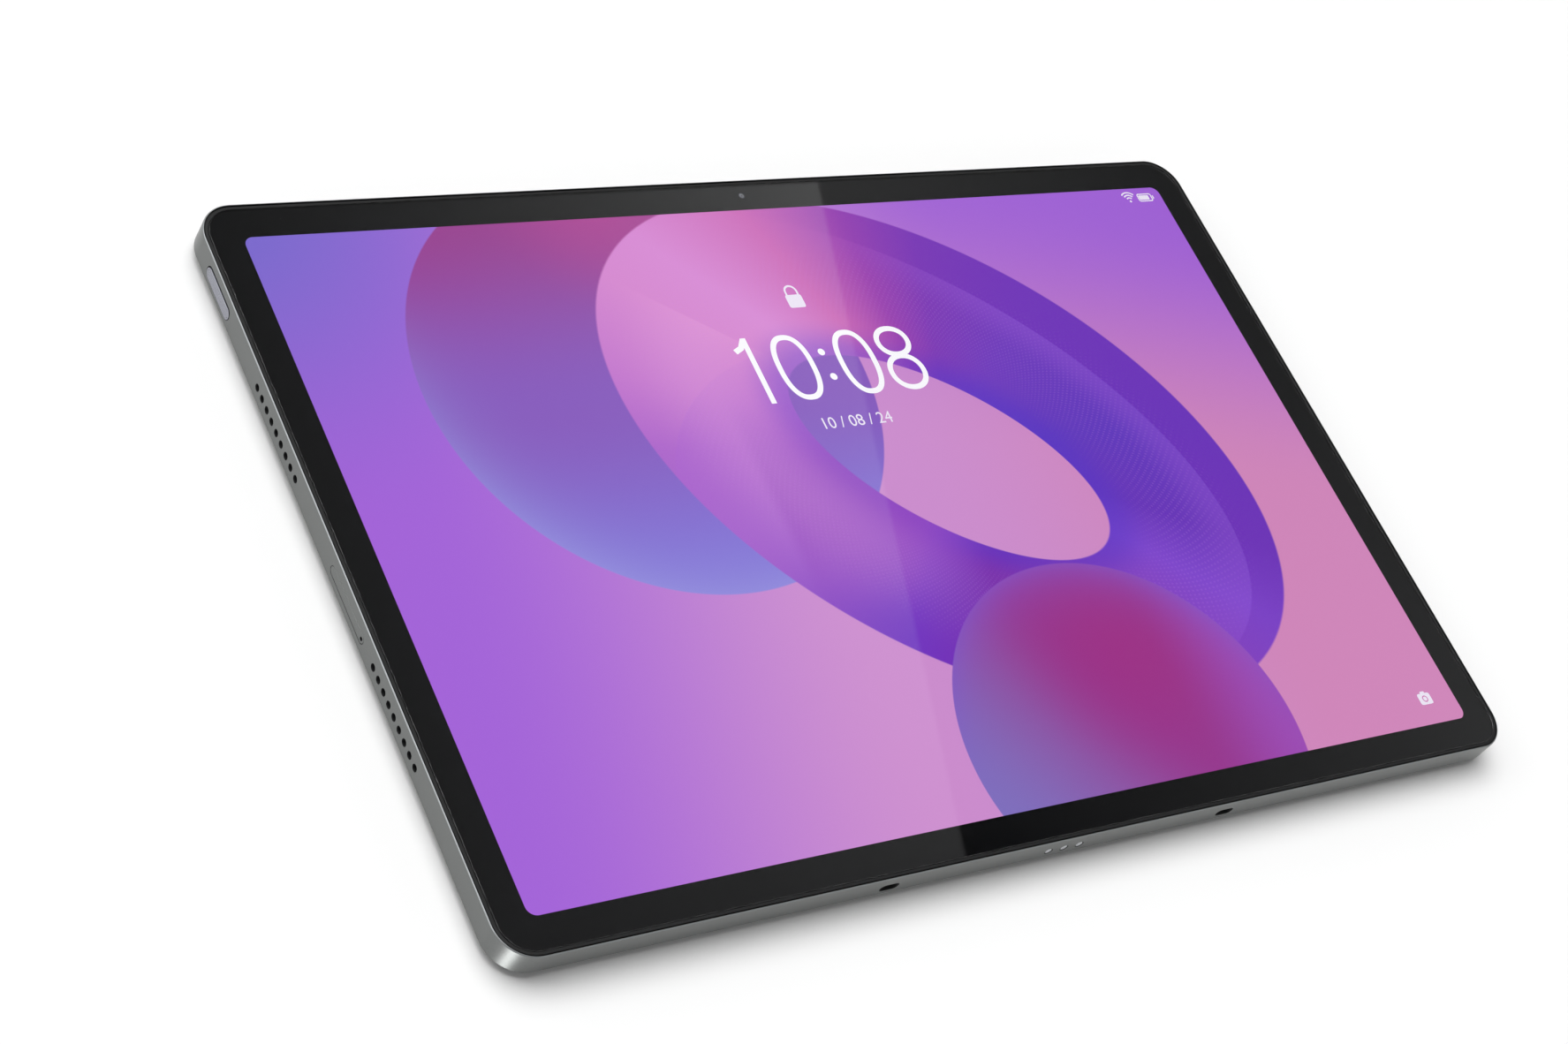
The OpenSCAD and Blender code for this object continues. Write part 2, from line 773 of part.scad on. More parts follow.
module rear_camera() color("#17181a") translate([lens_x, plate_y, 0]) {
    difference() {
        translate([0, 0, camera_barrel_z])
            cylinder(h = floor_z + 0.1 - camera_barrel_z, r = camera_barrel_r);
        translate([0, 0, camera_barrel_z - 0.15])
            cylinder(h = 1.2, r1 = camera_cone_r[0], r2 = camera_cone_r[1]);
    }
    translate([-camera_block / 2, -camera_block / 2, floor_z + 0.1])
        cube([camera_block, camera_block, camera_block_h]);
}

module flash_window() color([0.85, 0.85, 0.88, 0.7])
    translate([flash_x, plate_y, back_z - plate_h + 0.03])
        cylinder(h = plate_h - 0.03, r = flash_d / 2);

module flash_led() color("#f4e9a0") translate([flash_x, plate_y, back_z]) {
    cylinder(h = led_dome_h, r = led_dome_r);
    translate([-led_block / 2, -led_block / 2, led_dome_h])
        cube([led_block, led_block, board_z - back_z - led_dome_h]);
}

// ---------- keys ----------

module power_button() color("#8b8d94") {
    face_x = -half_l - power_proud;
    side = power_l / 2 + key_flange_side;
    difference() {
        pill_through_x(face_x, power_in_x, power_y, key_z, power_l, power_w);
        pill_through_x(face_x - 1, face_x + power_pad_sink, power_y, key_z,
            power_l - 2 * power_rim, power_w - 2 * power_rim);
    }
    box([power_in_x, power_y - side, key_z - 1.2],
        [power_in_x + key_flange_t, power_y + side, key_z + 1.2]);
    rod_x(power_in_x + key_flange_t, power_in_x + key_flange_t + power_nub_l, power_y, key_z,
        key_nub_r);
}

module fingerprint_pad() color("#74767e") {
    face_x = -half_l - power_proud;
    inset = 2 * (power_rim + 0.03);
    pill_through_x(face_x + 0.02, face_x + power_pad_sink, power_y, key_z,
        power_l - inset, power_w - inset);
}

module volume_rocker() color("#77797a") {
    side = volume_l / 2 + key_flange_side;
    low_z = key_z - volume_flange_w / 2;
    pill_through_y(volume_in_y, half_w + key_proud, volume_x, key_z, volume_l, volume_w);
    box([volume_x - side, volume_flange_y, low_z],
        [volume_x + side, volume_in_y, low_z + volume_flange_w]);
    for (s = [-1, 1])
        rod_y_axis(volume_flange_y - volume_nub_l, volume_flange_y,
            volume_x + s * volume_dome_dx, key_z, key_nub_r);
    translate([volume_x, volume_flange_y, low_z]) cylinder(h = volume_flange_w, r = fulcrum_r);
}

module key_flex() color("#b8742c") {
    z0 = part_z;
    z1 = key_z + key_board_w / 2;
    px = power_dome_x + dome_h;
    vy = volume_dome_y - dome_h;
    box([px, power_y - 7, z0], [px + key_board_t, power_y + 9, z1]);
    box([volume_x - 10, vy - key_board_t, z0], [volume_x + 10, vy, z1]);
    box([volume_x - 0.6, vy, key_z - 1],
        [volume_x + 0.6, volume_flange_y - fulcrum_r - fit_gap, key_z + 1]);
    flex([
        [px + key_board_t, power_y + 5, -113.5, power_y + 9],
        [volume_x - 2, 85.5, volume_x + 2, vy - key_board_t]
    ]);
}

module key_domes() color("#d0d2d4") {
    rod_x(power_dome_x, power_dome_x + dome_h, power_y, key_z, dome_r);
    for (s = [-1, 1])
        rod_y_axis(volume_dome_y - dome_h, volume_dome_y, volume_x + s * volume_dome_dx,
            key_z, dome_r);
}

// ---------- card tray and ejector ----------

module card_tray() color("#77797a") difference() {
    union() {
        pill_through_x(-half_l, -inner_x, tray_y, tray_z, tray_l, tray_w);
        box([-inner_x, tray_body_y - tray_body_w / 2, tray_body_z],
            [tray_end_x, tray_body_y + tray_body_w / 2, tray_body_z + tray_body_t]);
    }
    rod_x(-half_l - 1, -inner_x + 1, rod_y, tray_z, pin_hole_d / 2);
    box([-inner_x + 1.5, tray_body_y - 6, tray_body_z + 0.4],
        [-inner_x + 11, tray_body_y + 6, tray_body_z + 2]);
    box([-inner_x + 12.5, tray_body_y - 5.6, tray_body_z - 1],
        [tray_end_x - 1.2, tray_body_y + 5.6, tray_body_z + 2]);
}

module card_reader() color("#b9bcc0") {
    z0 = part_z;
    z1 = part_z + reader_h;
    difference() {
        box([reader_x, reader_y0, z0], [reader_x + reader_l, reader_y0 + reader_w, z1]);
        box([reader_x - 1, tray_body_y - tray_body_w / 2 - card_gap, z0 + reader_sheet],
            [chamber_x, tray_body_y + tray_body_w / 2 + card_gap, z1 - reader_sheet]);
        box([chamber_x - 0.01, reader_y0 + 0.5, z0 + reader_sheet],
            [chamber_x + chamber_l, reader_y0 + reader_w - 0.8, z1 - reader_sheet]);
        box([reader_x - 1, rod_y - rod_r - 0.1, z0 + reader_sheet],
            [chamber_x, rod_y + rod_r + 0.1, z1 - reader_sheet]);
    }
}

module card_board() color("#1d5c43") difference() {
    box([-inner_x + 0.9, card_board_y0, board_z], [card_board_x, card_board_y1, part_z]);
    board_holes(board_screws);
}

module card_flex() color("#b8742c") flex([[-119, 2.5, -114, main_y0 + 5]]);

module eject_rod() color("#c0c2c4")
    rod_x(reader_x + 0.2, reader_x + 0.2 + rod_l, rod_y, rod_z, rod_r);

module eject_lever() color("#c0c2c4") difference() {
    union() {
        box([lever_face_x, rod_y - 0.5, lever_z],
            [lever_face_x + lever_w, pivot_y + lever_tip, lever_z + lever_t]);
        translate([pivot_x, pivot_y, lever_z]) cylinder(h = lever_t, r = 1.4);
    }
    translate([pivot_x, pivot_y, lever_z - 1]) cylinder(h = 3, r = pivot_r + fit_gap);
}

module lever_pin() color("#8d9093")
    translate([pivot_x, pivot_y, part_z + reader_sheet])
        cylinder(h = reader_h - 2 * reader_sheet, r = pivot_r);

// ---------- keyboard dock ----------

module dock_contacts() color("#d9dadc") {
    for (k = [-1:1])
        rod_y_axis(-half_w + contact_sink, -inner_y + 1.5, k * contact_pitch, dock_z,
            contact_d / 2);
}

module dock_holder() color("#2b2c2f") difference() {
    union() {
        box([-8, -inner_y, dock_z - 1.5], [8, -inner_y + 4, dock_z + 1.4]);
        for (k = [-1:1])
            rod_y_axis(-half_w + contact_sink, -inner_y + 0.1, k * contact_pitch, dock_z,
                contact_d / 2 + contact_rim - 0.02);
    }
    for (k = [-1:1])
        rod_y_axis(-half_w - 1, -inner_y + 1.5, k * contact_pitch, dock_z, contact_d / 2);
}

module dock_magnets() color("#b7babd") {
    for (s = [-1, 1], x = magnet_x)
        box([s * x - magnet_l / 2, -inner_y, floor_z + 0.2],
            [s * x + magnet_l / 2, -inner_y + 3, floor_z + 3.2]);
}

// ---------- screws ----------

module chassis_screw() {
    difference() {
        cylinder(h = screw_head_h, r = screw_head_r);
        translate([0, 0, 0.2]) cylinder(h = 1, r = screw_socket_r, $fn = 6);
    }
    translate([0, 0, -screw_l]) cylinder(h = screw_l, r = screw_r);
}

module chassis_screws() color("#2f3033") {
    for (p = concat(board_screws, speaker_screws))
        translate([p[0], p[1], part_z]) chassis_screw();
}

back_shell();
display_surround();
display_adhesive();
cover_glass();
bezel_mask();
lcd_panel();
diffuser_films();
light_guide();
led_strip();
backlight_tray();
battery_cells();
battery_adhesive();
battery_board();
battery_flex();
main_board();
board_chips();
board_shields();
board_connectors();
thermal_sheet();
usb_board();
usb_port();
usb_flex();
display_flex();
camera_flex();
front_flex();
speaker_left_upper();
speaker_left_lower();
speaker_right_upper();
speaker_right_lower();
speaker_meshes();
front_camera();
light_sensor();
microphones();
wifi_antennas();
antenna_cables();
camera_plate();
lens_ring();
lens_cover();
rear_camera();
flash_window();
flash_led();
badge_inlay();
power_button();
fingerprint_pad();
volume_rocker();
key_flex();
key_domes();
card_tray();
card_reader();
card_board();
card_flex();
eject_rod();
eject_lever();
lever_pin();
dock_contacts();
dock_holder();
dock_flex();
dock_magnets();
chassis_screws();
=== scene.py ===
"""Looks for the tablet computer. Sizes are in millimetres until a mesh is made, which is in metres.

X runs along the long side, Y towards the edge with the front camera, Z out of the screen.
"""
import json
import math

import bmesh
import bpy
from mathutils import Matrix, Vector


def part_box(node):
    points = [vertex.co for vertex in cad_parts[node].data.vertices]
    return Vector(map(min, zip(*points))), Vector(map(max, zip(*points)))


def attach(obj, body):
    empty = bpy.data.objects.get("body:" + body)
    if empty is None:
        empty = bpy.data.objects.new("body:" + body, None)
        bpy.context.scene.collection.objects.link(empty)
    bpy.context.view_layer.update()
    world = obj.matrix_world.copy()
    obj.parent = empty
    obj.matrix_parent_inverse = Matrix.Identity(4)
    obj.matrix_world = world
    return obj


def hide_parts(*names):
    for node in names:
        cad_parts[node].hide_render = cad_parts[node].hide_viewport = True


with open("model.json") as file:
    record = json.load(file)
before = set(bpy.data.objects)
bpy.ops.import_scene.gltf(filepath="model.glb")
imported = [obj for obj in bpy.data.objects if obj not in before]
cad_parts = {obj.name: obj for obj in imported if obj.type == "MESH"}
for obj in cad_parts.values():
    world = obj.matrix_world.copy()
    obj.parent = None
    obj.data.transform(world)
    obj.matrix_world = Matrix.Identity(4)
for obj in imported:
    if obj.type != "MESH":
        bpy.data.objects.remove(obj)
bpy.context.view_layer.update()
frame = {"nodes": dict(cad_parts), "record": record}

MM = 0.001
nodes = frame["nodes"]


def high_corner(node):
    """A CAD node's highest corner at rest, in millimetres."""
    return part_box(node)[1] / MM


def placed(name, data):
    """A new object in the scene, made from a mesh, curve, camera or light."""
    thing = bpy.data.objects.new(name, data)
    bpy.context.scene.collection.objects.link(thing)
    return thing


# ---------- camera ----------

CAMERA_AT = Vector((-430.2, -281.7, 485.9))
CAMERA_TO = Vector((-34.3, -4.3, 8.8))
CAMERA_ROLL = math.radians(-37.6)
CAMERA_LENS = 68.63


def make_camera():
    """The photograph's viewing angle, from a fitted place, aim, roll and lens."""
    data = bpy.data.cameras.new("camera")
    data.lens = CAMERA_LENS
    data.sensor_width = 36.0
    data.clip_start = 0.01
    camera = placed("camera", data)
    back = (CAMERA_AT - CAMERA_TO).normalized()
    level = Vector((0, 0, 1)).cross(back).normalized()
    upright = back.cross(level)
    right = math.cos(CAMERA_ROLL) * level - math.sin(CAMERA_ROLL) * upright
    up = math.cos(CAMERA_ROLL) * upright + math.sin(CAMERA_ROLL) * level
    turn = Matrix((right, up, back)).transposed().to_4x4()
    camera.matrix_world = Matrix.Translation(CAMERA_AT * MM) @ turn
    bpy.context.scene.camera = camera


make_camera()
bpy.context.scene.view_settings.view_transform = "Standard"


# ---------- shader helpers ----------


def srgb(r, g, b):
    """A colour given as 0 to 255 on screen, as the linear numbers that a shader takes."""
    return tuple((c / 255 / 12.92) if c <= 10 else ((c / 255 + 0.055) / 1.055) ** 2.4
                 for c in (r, g, b)) + (1.0,)


class Value:
    """A number that varies over a surface, so that it can be used in plain arithmetic."""

    def __init__(self, graph, socket):
        self.graph = graph
        self.socket = socket

    def __add__(self, other):
        return self.graph.math("ADD", self, other)

    __radd__ = __add__

    def __sub__(self, other):
        return self.graph.math("SUBTRACT", self, other)

    def __rsub__(self, other):
        return self.graph.math("SUBTRACT", other, self)

    def __mul__(self, other):
        return self.graph.math("MULTIPLY", self, other)

    __rmul__ = __mul__

    def __truediv__(self, other):
        return self.graph.math("DIVIDE", self, other)

    def __pow__(self, other):
        return self.graph.math("POWER", self, other)

    def between(self, low, high):
        """0 at low, 1 at high, and smooth between them."""
        n = self.graph.make("ShaderNodeMapRange")
        n.interpolation_type = "SMOOTHSTEP"
        self.graph.feed(n.inputs["Value"], self)
        falling = low > high
        n.inputs["From Min"].default_value = min(low, high)
        n.inputs["From Max"].default_value = max(low, high)
        n.inputs["To Min"].default_value = 1.0 if falling else 0.0
        n.inputs["To Max"].default_value = 0.0 if falling else 1.0
        return Value(self.graph, n.outputs["Result"])


class Graph:
    """The node tree of one material."""

    def __init__(self, name):
        self.material = bpy.data.materials.new(name)
        self.material.use_nodes = True
        self.tree = self.material.node_tree
        self.shader = self.tree.nodes["Principled BSDF"]
        self.place = self.make("ShaderNodeTexCoord").outputs["Object"]

    def make(self, kind):
        return self.tree.nodes.new(kind)

    def feed(self, socket, value):
        if isinstance(value, Value):
            value = value.socket
        if isinstance(value, bpy.types.NodeSocket):
            self.tree.links.new(value, socket)
        else:
            socket.default_value = value

    def math(self, operation, *values):
        n = self.make("ShaderNodeMath")
        n.operation = operation
        for socket, value in zip(n.inputs, values):
            self.feed(socket, value)
        return Value(self, n.outputs[0])

    def axes(self):
        """The place on the surface as three numbers, in millimetres."""
        n = self.make("ShaderNodeSeparateXYZ")
        self.feed(n.inputs[0], self.place)
        return [Value(self, n.outputs[i]) / MM for i in range(3)]

    def blend(self, share, a, b):
        """Colour a where share is 0 and b where it is 1."""
        n = self.make("ShaderNodeMix")
        n.data_type = "RGBA"
        self.feed(n.inputs[0], share)
        self.feed(n.inputs[6], a)
        self.feed(n.inputs[7], b)
        return n.outputs[2]

    def ramp(self, share, stops):
        """A colour that runs through several, each given with its place from 0 to 1."""
        n = self.make("ShaderNodeValToRGB")
        self.feed(n.inputs[0], share)
        points = n.color_ramp.elements
        for i, (at, colour) in enumerate(stops):
            point = points[i] if i < len(points) else points.new(at)
            point.position = at
            point.color = srgb(*colour)
        return n.outputs[0]

    def stretched(self, sx, sy, sz):
        """The place on the surface, scaled along each axis."""
        n = self.make("ShaderNodeMapping")
        self.feed(n.inputs["Vector"], self.place)
        n.inputs["Scale"].default_value = (sx, sy, sz)
        return n.outputs[0]

    def noise(self, size, detail=2.0, place=None):
        """Noise whose lumps are about size millimetres across."""
        n = self.make("ShaderNodeTexNoise")
        self.feed(n.inputs["Vector"], place or self.place)
        n.inputs["Scale"].default_value = 1 / (size * MM)
        n.inputs["Detail"].default_value = detail
        return Value(self, n.outputs["Fac"])

    def bump(self, height, depth, strength=1.0):
        """Raises the surface by up to depth millimetres where height is 1."""
        n = self.make("ShaderNodeBump")
        n.inputs["Strength"].default_value = strength
        n.inputs["Distance"].default_value = depth * MM
        self.feed(n.inputs["Height"], height)
        if self.shader.inputs["Normal"].is_linked:
            self.feed(n.inputs["Normal"], self.shader.inputs["Normal"].links[0].from_socket)
        self.feed(self.shader.inputs["Normal"], n.outputs[0])

    def set(self, **values):
        """Sets inputs of the shader by name, with _ for a space."""
        for name, value in values.items():
            self.feed(self.shader.inputs[name.replace("_", " ")], value)


# ---------- materials ----------


def shaded(colour, amount):
    """A colour made lighter or darker."""
    return tuple(min(1.0, c * amount) for c in colour[:3]) + (1.0,)


def blasted_metal(name, colour, roughness=0.36, spread=0.16):
    """Anodised aluminium with a fine blasted grain."""
    g = Graph(name)
    grain = g.noise(0.24, 2)
    cloud = g.noise(30, 2)
    tint = g.blend(grain.between(0.25, 0.75), shaded(colour, 1 - spread),
                   shaded(colour, 1 + spread))
    g.set(Base_Color=g.blend(cloud * 0.25, tint, shaded(colour, 1.08)), Metallic=1.0,
          Roughness=grain * 0.12 + (roughness - 0.06))
    g.bump(grain, 0.005, 0.4)
    return g.material


def polished_metal(name, colour, roughness=0.12, grain_size=0.05):
    """Turned or polished metal with faint wear."""
    g = Graph(name)
    wear = g.noise(2.5, 4)
    fine = g.noise(grain_size, 2)
    g.set(Base_Color=g.blend(wear, shaded(colour, 0.94), shaded(colour, 1.05)), Metallic=1.0,
          Roughness=wear * 0.08 + fine * 0.04 + (roughness - 0.05))
    g.bump(fine, 0.001, 0.3)
    return g.material


def brushed_metal(name, colour, roughness=0.32):
    """Sheet metal with lines along X."""
    g = Graph(name)
    lines = g.noise(0.12, 3, g.stretched(0.04, 1, 1))
    stain = g.noise(6, 3)
    g.set(Base_Color=g.blend(lines, shaded(colour, 0.85), shaded(colour, 1.1)), Metallic=1.0,
          Roughness=lines * 0.15 + stain * 0.08 + (roughness - 0.1))
    g.bump(lines, 0.004, 0.4)
    return g.material


def moulded(name, colour, roughness=0.5, grain_size=0.2, depth=0.004, specular=0.5,
            metallic=0.0):
    """Moulded plastic, rubber or film with a fine grain."""
    g = Graph(name)
    g.shader.inputs["Specular IOR Level"].default_value = specular
    grain = g.noise(grain_size, 2)
    patch = g.noise(12, 2)
    g.set(Base_Color=g.blend(grain * 0.5 + patch * 0.5, shaded(colour, 0.85), shaded(colour, 1.18)),
          Roughness=grain * 0.12 + patch * 0.08 + (roughness - 0.1), Metallic=metallic)
    g.bump(grain, depth, 0.5)
    return g.material


def woven_mesh(name, colour):
    """Fine acoustic cloth: two crossed sets of threads."""
    g = Graph(name)
    x, y, z = g.axes()
    pitch = 2 * math.pi / 0.12
    threads = g.math("SINE", (y + x) * pitch) * g.math("SINE", z * pitch) * 0.5 + 0.5
    g.set(Base_Color=g.blend(threads, shaded(colour, 0.3), shaded(colour, 1.8)), Roughness=0.7)
    g.bump(threads, 0.03)
    return g.material


def circuit_board(name, colour):
    """Solder mask over copper tracks."""
    g = Graph(name)
    x, y, _ = g.axes()
    cell = g.make("ShaderNodeTexBrick")
    g.feed(cell.inputs["Vector"], g.place)
    cell.inputs["Scale"].default_value = 1 / (2.4 * MM)
    cell.inputs["Mortar Size"].default_value = 0.03
    track = g.math("SINE", x * 5.2 + g.noise(7, 1) * 14).between(0.55, 0.8)
    track = track * g.math("SINE", y * 0.9).between(-0.2, 0.3)
    copper = g.math("MAXIMUM", track, Value(g, cell.outputs["Fac"]))
    g.set(Base_Color=g.blend(copper, colour, shaded(colour, 1.9)), Roughness=0.38, Coat_Weight=0.5)
    g.bump(copper, 0.02)
    return g.material


def flat_cable(name, colour):
    """Polyimide film with copper lines showing through."""
    g = Graph(name)
    x, y, _ = g.axes()
    lines = g.math("SINE", (x + y) * (2 * math.pi / 0.8)).between(-0.3, 0.3)
    film = g.noise(4, 3)
    g.set(Base_Color=g.blend(lines * (film * 0.5 + 0.4), colour, shaded(colour, 1.5)),
          Roughness=film * 0.15 + 0.25, Coat_Weight=0.4)
    g.bump(lines, 0.02)
    return g.material


def battery_pouch(name, colour):
    """Laminated foil, slightly wrinkled."""
    g = Graph(name)
    crease = g.noise(9, 5)
    fine = g.noise(0.5, 2)
    g.set(Base_Color=g.blend(crease, shaded(colour, 0.8), shaded(colour, 1.3)), Metallic=0.35,
          Roughness=crease * 0.2 + 0.3)
    g.bump(crease, 0.25, 0.4)
    g.bump(fine, 0.01, 0.3)
    return g.material


def clear_glass(name, colour, roughness=0.0):
    """Polished glass. Lamps' light goes straight through it, so what lies behind it is lit."""
    g = Graph(name)
    smear = g.noise(25, 3)
    g.set(Base_Color=colour, Transmission_Weight=1.0, IOR=1.38,
          Roughness=smear * 0.004 + roughness)
    path = g.make("ShaderNodeLightPath")
    through = g.make("ShaderNodeBsdfTransparent")
    through.inputs["Color"].default_value = colour
    mixed = g.make("ShaderNodeMixShader")
    g.feed(mixed.inputs[0], path.outputs["Is Shadow Ray"])
    g.feed(mixed.inputs[1], g.shader.outputs[0])
    g.feed(mixed.inputs[2], through.outputs[0])
    g.feed(g.tree.nodes["Material Output"].inputs["Surface"], mixed.outputs[0])
    return g.material


def lit_mark(name, colour, strength):
    """White marks that the screen shows."""
    g = Graph(name)
    cells = g.noise(0.25, 1)
    g.set(Base_Color=(0, 0, 0, 1), Roughness=0.6, Emission_Strength=strength,
          Emission_Color=g.blend(cells, shaded(colour, 0.97), colour))
    g.shader.inputs["Specular IOR Level"].default_value = 0.0
    return g.material


# ---------- the picture on the screen ----------


def ball(g, x, y, cx, cy, r):
    """Where a disc of radius r is, and the height and side place on it from -1 to 1."""
    dx = (x - cx) / r
    dy = (y - cy) / r
    away = g.math("SQRT", dx * dx + dy * dy)
    return away.between(1.004, 0.996), away, dx, dy


def picture(name):
    """A soft abstract picture: two balls and a broad ring on a purple to pink ground."""
    g = Graph(name)
    x, y, _ = g.axes()

    ground = g.blend((x - y * 0.15).between(-125, -15), srgb(163, 98, 216), srgb(205, 141, 206))
    ground = g.blend(x.between(5, 100), ground, srgb(209, 133, 186))
    ground = g.blend((x * 0.25 + y).between(15, 110) * x.between(-40, 60), ground,
                     srgb(160, 96, 214))
    corner = g.math("SQRT", (x + 150) ** 2 + (y - 105) ** 2)
    ground = g.blend(corner.between(105, 5), ground, srgb(118, 106, 204))

    inside, away, dx, dy = ball(g, x, y, -50, 39, 60)
    skin = g.blend(dy.between(-0.95, -0.1), srgb(128, 112, 212), srgb(134, 88, 188))
    skin = g.blend(dy.between(-0.1, 0.85), skin, srgb(152, 62, 142))
    warm = g.math("SQRT", (dx - 0.1) ** 2 + (dy - 0.85) ** 2)
    skin = g.blend(warm.between(0.6, 0.0) * 0.7, skin, srgb(178, 68, 150))
    rim = (away ** 6) * (dx * -0.3 + dy * -0.6).between(-0.1, 0.75)
    skin = g.blend(rim * 0.7, skin, srgb(150, 146, 222))
    below = g.blend(inside, ground, skin)

    along = x * 0.79 - y * 0.61 - 12
    across = x * 0.61 + y * 0.79 - 23.5
    outer = g.math("SQRT", (along / 94) ** 2 + (across / 66) ** 2)
    inner = g.math("SQRT", ((along - 0.5) / 44) ** 2 + ((across + 4) / 23) ** 2)
    on_ring = outer.between(1.004, 0.996) * inner.between(0.992, 1.008)
    tube = (inner - 1) / ((inner - 1) + (1.0 - outer) * 2.0 + 0.0001)
    turn = g.math("ARCTAN2", across, along) / (2 * math.pi) + 0.5
    ring = g.ramp(turn, [
        (0.00, (213, 134, 207)), (0.05, (196, 118, 205)), (0.09, (172, 98, 202)),
        (0.14, (160, 96, 200)), (0.20, (134, 68, 194)), (0.25, (114, 52, 192)),
        (0.32, (116, 38, 170)), (0.42, (138, 60, 174)), (0.49, (126, 68, 204)),
        (0.53, (102, 48, 184)), (0.60, (95, 52, 188)), (0.72, (110, 55, 188)),
        (0.80, (124, 52, 181)), (0.85, (154, 62, 175)), (0.91, (202, 102, 182)),
        (0.97, (215, 136, 211)), (1.00, (213, 134, 207))])
    lit = g.math("SINE", tube * math.pi)
    ring = g.blend(tube.between(0.30, 0.0) * 0.55, ring, srgb(84, 48, 198))
    fold = g.math("SQRT", ((along + 9) / 94) ** 2 + ((across + 5) / 58) ** 2)
    right = turn.between(0.40, 0.56) * turn.between(0.93, 0.72)
    ring = g.blend(fold.between(0.997, 1.003) * right * 0.55, ring, srgb(112, 40, 182))
    ring = g.blend(fold.between(0.80, 1.0) * fold.between(1.003, 0.997) * right * 0.35, ring,
                   srgb(150, 84, 212))
    sweep = g.math("SQRT", ((x + 4) / 54) ** 2 + (y / 44) ** 2)
    left = turn.between(0.36, 0.22) * y.between(-34, -4)
    ring = g.blend(sweep.between(1.004, 0.996) * left * (y + 10).between(62, 20) * 0.55, ring,
                   srgb(170, 96, 206))
    ring = g.blend(x.between(-36, -31) * left * y.between(34, 4) * 0.6, ring, srgb(142, 62, 188))
    ring = g.blend((lit ** 2) * 0.22 * turn.between(0.42, 0.0), ring, srgb(238, 168, 224))
    weave = g.math("SINE", tube * 170) * g.math("SINE", turn * 1500) * lit
    ring = g.blend(weave.between(0.2, 1.0) * 0.13, ring, srgb(206, 132, 232))
    shown = g.blend(on_ring, below, ring)

    inside, away, dx, dy = ball(g, x, y, 33, -74, 49)
    skin = g.blend((dx * 0.8 + dy * 0.5).between(-0.95, 0.25), srgb(128, 112, 190),
                   srgb(150, 52, 142))
    hot = g.math("SQRT", (dx - 0.22) ** 2 + (dy - 0.5) ** 2)
    skin = g.blend(hot.between(0.85, 0.0) * 0.85, skin, srgb(158, 44, 132))
    skin = g.blend(dx.between(0.35, 1.0) * 0.7, skin, srgb(158, 78, 192))
    skin = g.blend((away ** 8) * dy.between(-0.3, 0.8) * 0.6, skin, srgb(126, 86, 206))
    shown = g.blend(inside, shown, skin)

    g.set(Base_Color=(0, 0, 0, 1), Roughness=0.5, Emission_Color=shown, Emission_Strength=1.07)
    g.shader.inputs["Specular IOR Level"].default_value = 0.0
    return g.material


# ---------- mesh helpers ----------


def smoothed(mesh):
    """Shades a mesh smooth, apart from its sharp edges."""
    mesh.polygons.foreach_set("use_smooth", [True] * len(mesh.polygons))
    mesh.set_sharp_from_angle(angle=math.radians(32))


def new_piece(name, verts, faces, material, place=None, smooth=True):
    """A mesh object from points in millimetres, which place moves into the object's frame."""
    mesh = bpy.data.meshes.new(name)
    place = place or Matrix.Identity(4)
    mesh.from_pydata([place @ Vector(v) * MM for v in verts], [], faces)
    bm = bmesh.new()
    bm.from_mesh(mesh)
    bmesh.ops.recalc_face_normals(bm, faces=bm.faces)
    bm.to_mesh(mesh)
    bm.free()
    piece = placed(name, mesh)
    mesh.materials.append(material)
    if smooth:
        smoothed(mesh)
    return piece


def outline(l, w, r, inset, steps):
    """A rounded rectangle as points, drawn inwards by inset."""
    r_in = max(r - inset, 1e-4)
    cx, cy = l / 2 - max(r, inset), w / 2 - max(r, inset)
    points = []
    for k, (sx, sy) in enumerate(((1, 1), (-1, 1), (-1, -1), (1, -1))):
        for i in range(steps + 1):
            a = math.pi / 2 * (k + i / steps)
            points.append((sx * cx + r_in * math.cos(a), sy * cy + r_in * math.sin(a)))
    return points


def stacked(loops, closed):
    """Faces between loops of points, and over both ends unless the loops close on themselves."""
    verts = [p for loop in loops for p in loop]
    n = len(loops[0])
    pairs = list(zip(range(len(loops)), range(1, len(loops))))
    if closed:
        pairs.append((len(loops) - 1, 0))
    faces = [(a * n + i, a * n + (i + 1) % n, b * n + (i + 1) % n, b * n + i)
             for a, b in pairs for i in range(n)]
    if not closed:
        faces.append(tuple(range(n))[::-1])
        faces.append(tuple(range((len(loops) - 1) * n, len(loops) * n)))
    return verts, faces


def loft(name, l, w, r, section, material, place=None, steps=12, ring=False):
    """A solid whose plan is a rounded rectangle. The section is a list of (inset, height)."""
    loops = [[(x, y, z) for x, y in outline(l, w, r, inset, steps)] for inset, z in section]
    verts, faces = stacked(loops, ring)
    return new_piece(name, verts, faces, material, place)


def disc(name, at, r, section, material, steps=16, ring=False):
    """A round piece whose section runs from the rim inwards, with heights in the body's frame."""
    return loft(name, 2 * r, 2 * r, r, section, material, Matrix.Translation((*at, 0)), steps,
                ring)


def rounded_top(r, top, steps=4, inset=0.0):
    """Section points of a rounded edge that ends at height top."""
    return [(inset + r * (1 - math.cos(a)), top - r * (1 - math.sin(a)))
            for a in (math.pi / 2 * i / steps for i in range(steps + 1))]


def rounded_bottom(r, bottom, steps=4, inset=0.0):
    """Section points of a rounded edge that starts at height bottom."""
    return [(inset + r * (1 - math.sin(a)), bottom + r * (1 - math.cos(a)))
            for a in (math.pi / 2 * i / steps for i in range(steps + 1))]


